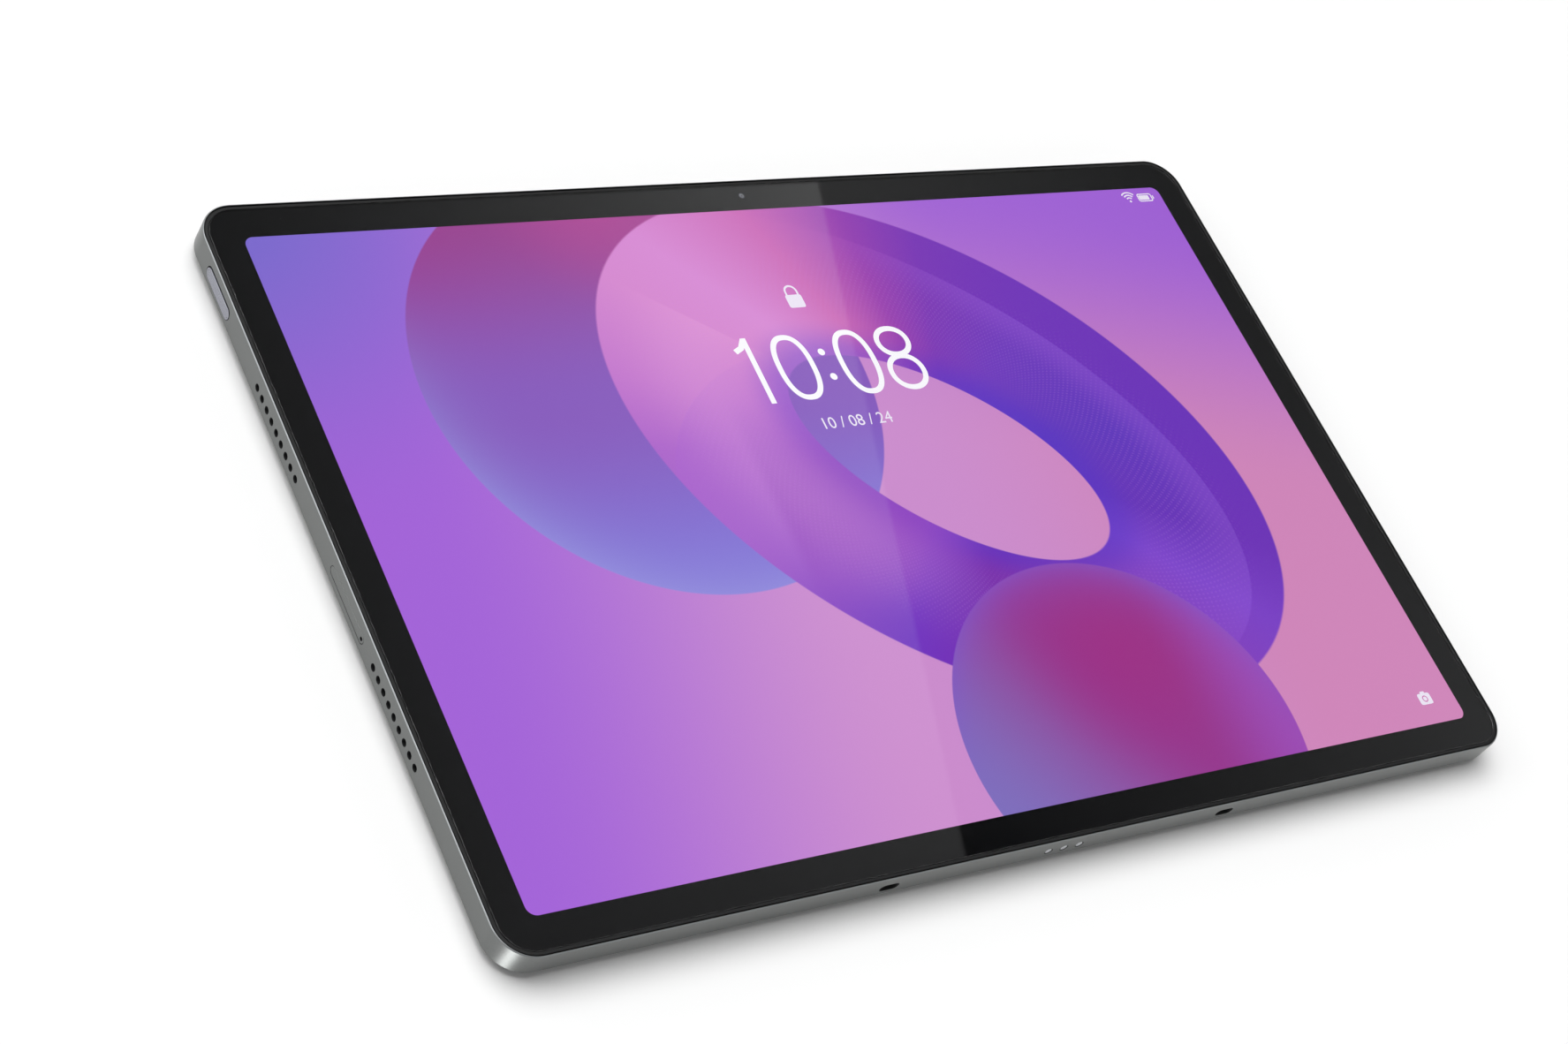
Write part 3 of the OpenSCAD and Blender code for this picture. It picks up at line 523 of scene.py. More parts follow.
FACES = {
    "left": (Vector((0, -1, 0)), Vector((0, 0, 1))),
    "right": (Vector((0, 1, 0)), Vector((0, 0, 1))),
    "top": (Vector((-1, 0, 0)), Vector((0, 0, 1))),
    "bottom": (Vector((1, 0, 0)), Vector((0, 0, 1))),
    "back": (Vector((1, 0, 0)), Vector((0, -1, 0))),
    "front": (Vector((1, 0, 0)), Vector((0, 1, 0))),
}


def on_face(face, *at):
    """The place of a shape drawn flat, which then stands out of that face of the body."""
    along, over = FACES[face]
    turn = Matrix((along, over, along.cross(over))).transposed().to_4x4()
    return Matrix.Translation(Vector(at)) @ turn


def cut_away(piece, cutters):
    """Takes the cutters out of the piece, and removes them."""
    tool = join(cutters, "cutters")
    change = piece.modifiers.new("cut", "BOOLEAN")
    change.operation = "DIFFERENCE"
    change.solver = "EXACT"
    change.material_mode = "TRANSFER"
    change.object = tool
    graph = bpy.context.evaluated_depsgraph_get()
    mesh = bpy.data.meshes.new_from_object(piece.evaluated_get(graph))
    piece.modifiers.clear()
    piece.data = mesh
    smoothed(mesh)
    bpy.data.objects.remove(tool)


def join(pieces, name):
    """One object from several, each keeping its material."""
    bm = bmesh.new()
    mesh = bpy.data.meshes.new(name)
    for p in pieces:
        m = p.data.materials[0]
        if m.name not in [x.name for x in mesh.materials]:
            mesh.materials.append(m)
        start = len(bm.faces)
        bm.from_mesh(p.data)
        bm.faces.ensure_lookup_table()
        index = [x.name for x in mesh.materials].index(m.name)
        for f in bm.faces[start:]:
            f.material_index = index
    bm.to_mesh(mesh)
    bm.free()
    for p in pieces:
        bpy.data.objects.remove(p)
    return placed(name, mesh)


def finished(piece, body, slot, *replaced):
    """Keeps the piece's large faces flat beside small rounds, gives it its body and hides the
    CAD nodes it stands for. The slot, the finish's name, is not used."""
    piece.modifiers.new("normals", "WEIGHTED_NORMAL").keep_sharp = True
    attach(piece, body)
    if replaced:
        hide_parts(*replaced)
    return piece


# ---------- sizes that the pieces share, in millimetres ----------

HALF_L, HALF_W, FRONT_Z = high_corner("back_shell")
BODY_L, BODY_W = 2 * HALF_L, 2 * HALF_W
CORNER_R = 9.0
BACK_Z = 1.9
FLOOR_Z = 2.7
WALL = 1.5
BEVEL = 0.2
LIP = 0.3
GROOVE = 0.6
LEDGE = 3.0
LEDGE_Z = FRONT_Z - 1.3
KEY_Z = FRONT_Z - 3.9
GRILLE_Z = FRONT_Z - 3.65
TRAY_Z = FRONT_Z - 3.7
DOCK_Z = FRONT_Z - 3.95
POWER_Y = 73.3
VOLUME_X = -112.0
TRAY_Y = -8.15
USB_Z = 4.5
LENS_AT = (-124.65, 71.0)
FLASH_AT = (-105.35, 71.0)
PLATE_AT = (-115.0, 71.0)
PLATE_SIZE = (46, 32)
GRILLE_Y, GRILLE_PITCH, GRILLE_R = 35.6, 3.0, 0.9
POWER_SLOT, POWER_SLOT_RISE = (14.1, 3.5), 0.18
TRAY_SLOT = (19.1, 2.3)
USB_MOUTH = (9.2, 3.4)
VOLUME_SLOT = (22.4, 2.9)
MIC_X, MIC_R = 45, 0.4
LOCATOR_X, LOCATOR_SLOT, LOCATOR_DEPTH = 49.5, (5, 2.4), 1.1
DOCK_PITCH, DOCK_R = 4.55, 1.05
SCREEN = (273.5, 171, 2.4)
GLASS_INSET = 1.5
MARK_LOW, MARK_HIGH = 8.006, 8.02
MASK_LOW, MASK_HIGH = 8.03, 8.08
EYE_AT = (0.0, HALF_W - 4.65)
EYE_R = 0.9
WALL_X = HALF_L - WALL


# ---------- finishes: the record's slots, and four more at the end ----------

FINISHES = (
    ("body_metal", blasted_metal, srgb(114, 116, 115), 0.34, 0.1),
    ("surround_black", moulded, srgb(13, 13, 14), 0.5, 0.12, 0.002, 0.25),
    ("adhesive_black", moulded, srgb(16, 16, 17), 0.7, 0.3, 0.01),
    ("cover_glass", clear_glass, (0.97, 0.98, 0.98, 1.0)),
    ("mask_black", moulded, srgb(8, 8, 9), 0.9, 0.1, 0.0005, 0.0),
    ("display_panel", picture),
    ("film_white", moulded, srgb(228, 229, 234), 0.4, 0.08, 0.001),
    ("light_guide", moulded, srgb(215, 222, 232), 0.15, 0.6, 0.002),
    ("led_white", moulded, srgb(232, 216, 130), 0.3, 0.3, 0.004),
    ("sheet_metal", brushed_metal, srgb(186, 189, 194)),
    ("battery_pouch", battery_pouch, srgb(60, 62, 68)),
    ("tape_white", moulded, srgb(238, 238, 238), 0.8, 0.5, 0.02),
    ("circuit_board", circuit_board, srgb(24, 84, 60)),
    ("flat_cable", flat_cable, srgb(178, 108, 40)),
    ("chip_black", moulded, srgb(38, 39, 43), 0.45, 0.1, 0.004),
    ("graphite_sheet", moulded, srgb(58, 58, 62), 0.4, 0.8, 0.004, 0.5, 0.4),
    ("speaker_plastic", moulded, srgb(42, 43, 47), 0.55, 0.25, 0.01),
    ("speaker_mesh", woven_mesh, srgb(24, 24, 26)),
    ("camera_black", moulded, srgb(14, 14, 16), 0.35, 0.1, 0.002),
    ("gold_metal", polished_metal, srgb(222, 184, 110), 0.25),
    ("antenna_plastic", moulded, srgb(58, 49, 40), 0.5),
    ("cable_black", moulded, srgb(22, 22, 24), 0.5, 0.15, 0.005),
    ("plate_metal", polished_metal, srgb(150, 153, 158), 0.2),
    ("ring_metal", polished_metal, srgb(196, 199, 204), 0.12),
    ("lens_glass", clear_glass, (0.93, 0.94, 0.97, 1.0)),
    ("flash_glass", clear_glass, (0.86, 0.87, 0.9, 1.0), 0.42),
    ("flash_yellow", moulded, srgb(246, 232, 150), 0.25, 0.4, 0.01),
    ("badge_metal", polished_metal, srgb(205, 207, 210), 0.14),
    ("key_metal", blasted_metal, srgb(150, 151, 160), 0.3, 0.06),
    ("fingerprint_gloss", blasted_metal, srgb(148, 149, 158), 0.26, 0.05),
    ("pin_steel", polished_metal, srgb(192, 194, 197), 0.25),
    ("contact_metal", polished_metal, srgb(222, 224, 228), 0.2),
    ("magnet_metal", polished_metal, srgb(176, 180, 186), 0.3),
    ("screw_steel", polished_metal, srgb(60, 61, 66), 0.35),
    ("bevel_metal", polished_metal, srgb(140, 143, 144), 0.42),
    # painted shade: a near-black lining for the walls of openings in the metal body, where the
    # metal would only be in shade
    ("hole_black", moulded, srgb(22, 23, 24), 0.6, 0.1, 0.002),
    ("window_black", moulded, srgb(2, 2, 3), 0.6, 0.1, 0.002, 0.0),
    ("lens_eye", moulded, srgb(16, 13, 30), 0.06, 0.5, 0.0),
)
FINISH = {name: make(name, *details) for name, make, *details in FINISHES}

for part in frame["record"]["subparts"]:
    materials = nodes[part["node"]].data.materials
    materials.clear()
    materials.append(FINISH[part["material_slot"]])


# ---------- the metal body ----------


def pill_cutter(face, at, length, width, depth, chamfer):
    """Cuts a slot with round ends and a chamfered edge into a face, and lines its walls with
    near-black painted shade.
    """
    section = [(0, -depth), (0, -chamfer), (-chamfer, 0), (-chamfer, 0.6)]
    return loft("cutter", length, width, width / 2, section, FINISH["hole_black"],
                on_face(face, *at), 10)


def hole_cutter(face, at, r, depth, chamfer):
    """Cuts a round hole with a chamfered edge into a face, and lines its walls with near-black
    painted shade.
    """
    return pill_cutter(face, at, 2 * r, 2 * r, depth, chamfer)


def body_shell():
    """The metal body: floor, side walls, bright bevel and the ledge that holds the display."""
    rear = rounded_bottom(0.6, BACK_Z, 5)
    section = [
        (WALL, FLOOR_Z), (WALL, LEDGE_Z - 0.6), (LEDGE, LEDGE_Z - 0.6), (LEDGE, LEDGE_Z),
        (LIP, LEDGE_Z), (LIP, FRONT_Z - 0.03), (LIP - 0.03, FRONT_Z), (BEVEL + 0.02, FRONT_Z),
        (BEVEL - 0.02, FRONT_Z - 0.02), (0.02, FRONT_Z - BEVEL + 0.02), (0, FRONT_Z - BEVEL - 0.03),
    ] + rear[::-1]
    shell = loft("shell", BODY_L, BODY_W, CORNER_R, section, FINISH["body_metal"], steps=24)
    through = WALL + 0.2
    cutters = [
        hole_cutter(side, (x, s * GRILLE_Y + k * GRILLE_PITCH, GRILLE_Z), GRILLE_R, through, 0.02)
        for side, x in (("left", -HALF_L), ("right", HALF_L)) for s in (-1, 1)
        for k in range(-4, 5)]
    power_z = KEY_Z + POWER_SLOT_RISE
    cutters += [
        pill_cutter("left", (-HALF_L, POWER_Y, power_z), *POWER_SLOT, through, 0.02),
        pill_cutter("left", (-HALF_L, TRAY_Y, TRAY_Z), *TRAY_SLOT, through, 0.04),
        pill_cutter("right", (HALF_L, 0, USB_Z), *USB_MOUTH, through, 0.2),
        pill_cutter("top", (VOLUME_X, HALF_W, KEY_Z), *VOLUME_SLOT, through, 0.1),
        hole_cutter("back", (*LENS_AT, BACK_Z), 5.2, 1.0, 0.02),
        hole_cutter("back", (*FLASH_AT, BACK_Z), 2.6, 1.0, 0.02),
    ]
    cutters += [hole_cutter("top", (s * MIC_X, HALF_W, KEY_Z), MIC_R, through, 0.05)
                for s in (-1, 1)]
    cutters += [pill_cutter("bottom", (s * LOCATOR_X, -HALF_W, DOCK_Z), *LOCATOR_SLOT,
                            LOCATOR_DEPTH, 0.1) for s in (-1, 1)]
    cutters += [hole_cutter("bottom", (k * DOCK_PITCH, -HALF_W, DOCK_Z), DOCK_R, through, 0.06)
                for k in (-1, 0, 1)]
    # the cutters leave their near-black painted shade on the walls of every opening
    cut_away(shell, cutters)
    shell.data.materials.append(FINISH["bevel_metal"])
    for face in shell.data.polygons:
        if face.center.z > (FRONT_Z - BEVEL) * MM and 0.2 < face.normal.z:
            face.material_index = len(shell.data.materials) - 1
    return finished(shell, "chassis", "body_metal", "back_shell")


shell = body_shell()


def clip_line(start, step, inside, low, high, count):
    """The stretches of a line, from low to high, that lie inside a region."""
    found, first, last = [], None, None
    for i in range(count + 1):
        t = low + (high - low) * i / count
        if inside(start[0] + step[0] * t, start[1] + step[1] * t):
            first = t if first is None else first
            last = t
        elif first is not None:
            found.append((first, last))
            first = None
    if first is not None:
        found.append((first, last))
    return found


def in_rounded(x, y, x0, y0, x1, y1, r):
    """Whether a point is inside a rectangle with round corners."""
    dx = max(x0 + r - x, x - (x1 - r), 0)
    dy = max(y0 + r - y, y - (y1 - r), 0)
    return x0 < x < x1 and y0 < y < y1 and dx * dx + dy * dy < r * r


def ribbed_panel():
    """Fine slanting ribs across the top of the back, with a gap for the camera plate."""
    pitch, width, height = 1.1, 0.8, 0.09
    half = math.sqrt(0.5)
    reach_x, reach_y = PLATE_SIZE[0] / 2, PLATE_SIZE[1] / 2
    edge_x, low_y, high_y = 143, 49.8, 92
    longest = 160

    def inside(x, y):
        plate = in_rounded(x, y, PLATE_AT[0] - reach_x, PLATE_AT[1] - reach_y,
                           PLATE_AT[0] + reach_x, PLATE_AT[1] + reach_y, 3.5)
        return in_rounded(x, y, -edge_x, low_y, edge_x, high_y, 6) and not plate

    verts, faces = [], []
    count = int((2 * edge_x + 43) * half / pitch / 2) + 2
    for k in range(-count, count + 1):
        middle = (k * pitch * half, 70.9 - k * pitch * half)
        for t0, t1 in clip_line(middle, (half, half), inside, -longest, longest, 1600):
            if t1 - t0 < 0.8:
                continue
            base = len(verts)
            for t, lean in ((t0, 1), (t1, -1)):
                for across, drop in ((-width / 2, -0.02), (-width / 4, height * 0.8), (0, height),
                                     (width / 4, height * 0.8), (width / 2, -0.02)):
                    run = t + lean * max(drop, 0)
                    verts.append((middle[0] + half * (run + across),
                                  middle[1] + half * (run - across), BACK_Z - drop))
            faces += [(base + i, base + i + 1, base + i + 6, base + i + 5) for i in range(4)]
            faces += [(base + 4, base, base + 5, base + 9), tuple(base + i for i in range(5)),
                      tuple(base + i for i in (9, 8, 7, 6, 5))]
    ribs = new_piece("ribbed_panel", verts, faces, FINISH["body_metal"])
    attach(ribs, "chassis")


ribbed_panel()


# ---------- display ----------


def framed(name, outer, inner, z0, z1, material, steps=16):
    """A flat frame between two rounded rectangles, each given as (length, width, radius)."""
    loops = [[(x, y, z) for x, y in outline(*shape, 0, steps)]
             for shape, z in ((outer, z0), (outer, z1), (inner, z1), (inner, z0))]
    return new_piece(name, *stacked(loops, True), material)


def inset_body(inset):
    """The length, width and radius of the body's outline, drawn inwards."""
    return BODY_L - 2 * inset, BODY_W - 2 * inset, CORNER_R - inset


surround = loft("surround", BODY_L, BODY_W, CORNER_R, [
    (LIP + 0.05, LEDGE_Z), (LIP + 0.05, FRONT_Z - 0.5), (GROOVE, FRONT_Z - 0.5),
    *rounded_top(0.1, FRONT_Z - 0.15, 3, GROOVE),
    (1.28, FRONT_Z - 0.15), (1.38, FRONT_Z - 0.25), (1.38, FRONT_Z - 0.9),
    (LEDGE, FRONT_Z - 0.9), (LEDGE, LEDGE_Z)], FINISH["surround_black"], steps=24, ring=True)
finished(surround, "chassis", "surround_black", "display_surround")

glass = loft("front_glass", *inset_body(1.45),
             [(0.08, FRONT_Z - 0.7), (0, FRONT_Z - 0.62)] + rounded_top(0.12, FRONT_Z, 5),
             FINISH["cover_glass"], steps=24)
finished(glass, "chassis", "cover_glass", "cover_glass")

printed = inset_body(GLASS_INSET)
mask = framed("bezel", printed, SCREEN, MASK_LOW, MASK_HIGH, FINISH["mask_black"])
cut_away(mask, [disc("cutter", EYE_AT, EYE_R, [(0, MASK_LOW - 0.13), (0, MASK_HIGH + 0.22)],
                     FINISH["mask_black"], 12)])
finished(mask, "chassis", "mask_black", "bezel_mask")
tape = framed("tape", printed, inset_body(LEDGE), FRONT_Z - 0.9, MASK_LOW - 0.01,
              FINISH["adhesive_black"])
finished(tape, "chassis", "adhesive_black", "display_adhesive")


# ---------- what the screen shows ----------

white_mark = lit_mark("screen_marks", srgb(252, 250, 255), 1.08)
soft_mark = lit_mark("screen_marks_small", srgb(240, 232, 248), 1.05)


def ribbon(name, path, width, material, closed=False):
    """A flat band of even width along a path."""
    count = len(path)
    loops = []
    for i, p in enumerate(path):
        before = path[i - 1] if closed or i else p
        after = path[(i + 1) % count] if closed or i + 1 < count else p
        d = (Vector(after) - Vector(before)).normalized()
        side = Vector((-d.y, d.x)) * (width / 2)
        if not closed and 0 < i < count - 1:
            turn = (Vector(p) - Vector(before)).normalized().dot(
                (Vector(after) - Vector(p)).normalized())
            side = side / math.sqrt(max(0.2, (1 + turn) / 2))
        left, right = Vector(p) + side, Vector(p) - side
        loops.append([(left.x, left.y, MARK_LOW), (left.x, left.y, MARK_HIGH),
                      (right.x, right.y, MARK_HIGH), (right.x, right.y, MARK_LOW)])
    return new_piece(name, *stacked(loops, closed), material)


def oval(cx, cy, width, height, power=2.0, steps=64):
    """Points of an oval. A higher power makes it squarer."""
    points = []
    for i in range(steps):
        a = 2 * math.pi * i / steps
        c, s = math.cos(a), math.sin(a)
        points.append((cx + width / 2 * math.copysign(abs(c) ** (2 / power), c),
                       cy + height / 2 * math.copysign(abs(s) ** (2 / power), s)))
    return points


def arc(cx, cy, r, start, end, steps=16):
    """Points along an arc, with its angles in degrees."""
    return [(cx + r * math.cos(math.radians(start + (end - start) * i / steps)),
             cy + r * math.sin(math.radians(start + (end - start) * i / steps)))
            for i in range(steps + 1)]


def flat_mark(name, x, y, length, width, r, material, steps):
    """A flat filled rectangle with round corners."""
    return loft(name, length, width, r, [(0, MARK_LOW), (0, MARK_HIGH)], material,
                Matrix.Translation((x, y, 0)), steps)


def spot(name, x, y, r, material):
    """A flat round dot."""
    return flat_mark(name, x, y, 2 * r, 2 * r, r, material, 8)


def washer(name, outer, inner, material):
    """A flat plate with a hole, from two rings of points that match one to one."""
    loops = [[(*o, MARK_LOW), (*o, MARK_HIGH), (*i, MARK_HIGH), (*i, MARK_LOW)]
             for o, i in zip(outer, inner)]
    return new_piece(name, *stacked(loops, True), material)


def clock():
    """The large time, drawn in thin lines."""
    low, high, line = 28.2, 47.4, 1.5
    middle, tall = (low + high) / 2, high - low - line
    parts = [
        ribbon("d", [(-24.3, 43.6), (-22.2, 44.6), (-20.6, 47.0)], line, white_mark),
        ribbon("d", [(-20.5, 47.4), (-20.5, low)], line, white_mark),
        ribbon("d", oval(-9.2, middle, 11.3 - line, tall, 2.4), line, white_mark, True),
        spot("d", 0.0, 41.5, 1.0, white_mark), spot("d", 0.0, 34.15, 1.0, white_mark),
        ribbon("d", oval(9.3, middle, 11.3 - line, tall, 2.4), line, white_mark, True),
        ribbon("d", oval(22.4, 42.75, 10.6 - line, 9.3 - line, 2.1), line, white_mark, True),
        ribbon("d", oval(22.4, 33.6, 11.35 - line, 10.9 - line, 2.1), line, white_mark, True),
    ]
    return join(parts, "clock")


def small_marks():
    """The padlock, the date in numbers, and the small signs in two corners."""
    parts = [
        flat_mark("m", 0.1, 57.0, 4.8, 3.9, 0.6, soft_mark, 4),
        ribbon("m", [(-1.6, 58.6), *arc(0.1, 59.9, 1.7, 180, 0), (1.8, 58.6)], 0.55, soft_mark),
        spot("m", 125.0, 81.2, 0.35, soft_mark),
        framed_mark(130.75, 82.25, 5.2, 2.7, 0.7, 0.35),
        flat_mark("m", 130.4, 82.25, 3.6, 1.5, 0.3, soft_mark, 3),
        flat_mark("m", 133.75, 82.25, 0.4, 1.1, 0.1, soft_mark, 2),
        washer("m", oval(126.75, -78.4, 4.3, 3.2, 7), oval(126.75, -78.4, 1.9, 1.9), soft_mark),
        spot("m", 126.75, -78.4, 0.6, soft_mark),
        flat_mark("m", 126.75, -76.6, 1.5, 0.6, 0.15, soft_mark, 2),
    ]
    parts += [ribbon("m", arc(125.0, 81.2, r, 45, 135), 0.42, soft_mark) for r in (1.2, 2.1, 3.0)]
    parts.append(numerals("10 / 08 / 24", 0.1, 21.0, 3.4))
    return join(parts, "screen_signs")


def framed_mark(x, y, length, width, r, line):
    """A rounded rectangle drawn as a line."""
    points = [(x + px, y + py) for px, py in outline(length, width, r, line / 2, 4)]
    return ribbon("m", points, line, soft_mark, True)


def numerals(text, x, y, height):
    """A line of numbers, centred on a point."""
    curve = bpy.data.curves.new("numerals", "FONT")
    curve.body = text
    curve.size = height * 1.35 * MM
    curve.align_x = "CENTER"
    curve.align_y = "CENTER"
    curve.extrude = (MARK_HIGH - MARK_LOW) / 2 * MM
    curve.resolution_u = 4
    lettering = placed("numerals", curve)
    lettering.location = (x * MM, y * MM, (MARK_LOW + MARK_HIGH) / 2 * MM)
    graph = bpy.context.evaluated_depsgraph_get()
    mesh = bpy.data.meshes.new_from_object(lettering.evaluated_get(graph))
    mesh.transform(lettering.matrix_world)
    bpy.data.objects.remove(lettering)
    mesh.materials.clear()
    mesh.materials.append(soft_mark)
    return placed("numerals_mesh", mesh)


for shown in (clock(), small_marks()):
    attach(shown, "chassis")


# ---------- keys, card tray and openings in the side walls ----------


def power_key():
    """The power button, with a smooth pad sunk into its face."""
    place = on_face("left", -HALF_L - 0.05, POWER_Y, KEY_Z)
    section = [(0, -1.5), *rounded_top(0.05, 0, 3), (0.38, 0), (0.4, -0.02), (0.4, -0.15)]
    rim = loft("power_rim", 13.7, 2.9, 1.45, section, FINISH["key_metal"], place, 12)
    flange = loft("f", 15.5, 2.4, 0.3, [(0, -2.1), (0, -1.5)], FINISH["key_metal"], place, 3)
    nub = loft("f", 1.6, 1.6, 0.8, [(0.1, -2.6), (0, -2.5), (0, -2.1)], FINISH["key_metal"],
               place, 8)
    finished(join([rim, flange, nub], "power_key_body"), "power_key", "key_metal", "power_button")
    pad = loft("power_pad", 12.84, 2.04, 1.02, [(0, -0.15), *rounded_top(0.02, -0.02, 2)],
               FINISH["fingerprint_gloss"], place, 12)
    finished(pad, "power_key", "fingerprint_gloss", "fingerprint_pad")


def volume_key():
    """The volume rocker: one long key on a flange, with two nubs and a fulcrum under it."""
    place = on_face("top", VOLUME_X, HALF_W + 0.3, KEY_Z)
    top = loft("volume_top", 22, 2.5, 1.25, [(0, -2.1), *rounded_top(0.18, 0, 5)],
               FINISH["body_metal"], place, 12)
    flange = loft("f", 23.8, 2.2, 0.3, [(0, -2.7), (0, -2.1)], FINISH["body_metal"], place, 3)
    nubs = [loft("f", 1.6, 1.6, 0.8, [(0, -3.3), (0, -2.7)], FINISH["body_metal"],
                 place @ Matrix.Translation((s * 7, 0, 0)), 8) for s in (-1, 1)]
    fulcrum = loft("f", 0.8, 0.8, 0.4, [(0, -1.1), (0, 1.1)], FINISH["body_metal"],
                   Matrix.Translation((VOLUME_X, HALF_W - 2.4, KEY_Z)), 8)
    finished(join([top, flange, *nubs, fulcrum], "volume_key_body"), "volume_key", "body_metal",
             "volume_rocker")


def tray():
    """The card tray: a face flush with the wall, and the flat carrier behind it."""
    place = on_face("left", -HALF_L, TRAY_Y, TRAY_Z)
    face = loft("tray_face", 18.9, 2.1, 1.05, [(0, -1.5), *rounded_top(0.08, 0, 3)],
                FINISH["body_metal"], place, 12)
    length = high_corner("card_tray").x + WALL_X
    y = TRAY_Y + 0.35
    carrier = loft("tray_carrier", length, 14.8, 0.8,
                   [(0.05, 4.35), (0, 4.4), (0, 5.5), (0.05, 5.55)], FINISH["body_metal"],
                   Matrix.Translation((-WALL_X + length / 2, y, 0)), 4)
    cut_away(carrier, [
        loft("cutter", 9.5, 12, 0.8, [(0, 4.75), (0, 6)], FINISH["body_metal"],
             Matrix.Translation((-WALL_X + 6.25, y, 0)), 4),
        loft("cutter", length - 13.7, 11.2, 0.8, [(0, 4), (0, 6)], FINISH["body_metal"],
             Matrix.Translation((-WALL_X + 12.5 + (length - 13.7) / 2, y, 0)), 4)])
    whole = join([face, carrier], "tray_body")
    cut_away(whole, [hole_cutter("left", (-HALF_L, TRAY_Y - 8.45, TRAY_Z), 0.45, 2.4, 0.06)])
    finished(whole, "tray", "body_metal", "card_tray")


def usb_socket():
    """The USB-C socket: a steel tube with a tongue that carries small contacts."""
    place = on_face("right", HALF_L - 0.3, 0, USB_Z)
    tube = loft("usb_tube", 9.0, 3.2, 1.6,
                [(0, -7.3), (0, -0.08), (0.08, 0), (0.17, 0), (0.25, -0.08), (0.25, -6.3)],
                FINISH["sheet_metal"], place, 12)
    finished(tube, "chassis", "sheet_metal", "usb_port")
    tongue = loft("usb_tongue", 6.7, 0.7, 0.2, [(0, -6.4), (0, -1.0), (0.1, -0.9)],
                  FINISH["chip_black"], place, 4)
    finished(tongue, "chassis", "chip_black")
    pads = [loft("p", 0.28, 0.04, 0.01, [(0, -5.5), (0, -1.3)], FINISH["gold_metal"],
                 place @ Matrix.Translation(((k - 5.5) * 0.5, s * 0.36, 0)), 1)
            for k in range(12) for s in (-1, 1)]
    finished(join(pads, "usb_contacts"), "chassis", "gold_metal")


def dock_pins():
    """Three domed contacts for a keyboard."""
    section = [(0, -2.95), *rounded_top(0.2, 0, 4)]
    pins = [loft("p", 1.8, 1.8, 0.9, section, FINISH["contact_metal"],
                 on_face("bottom", k * DOCK_PITCH, -HALF_W + 0.05, DOCK_Z), 10)
            for k in (-1, 0, 1)]
    finished(join(pins, "dock_pins"), "chassis", "contact_metal", "dock_contacts")


power_key()
volume_key()
tray()
usb_socket()
dock_pins()


# ---------- cameras ----------


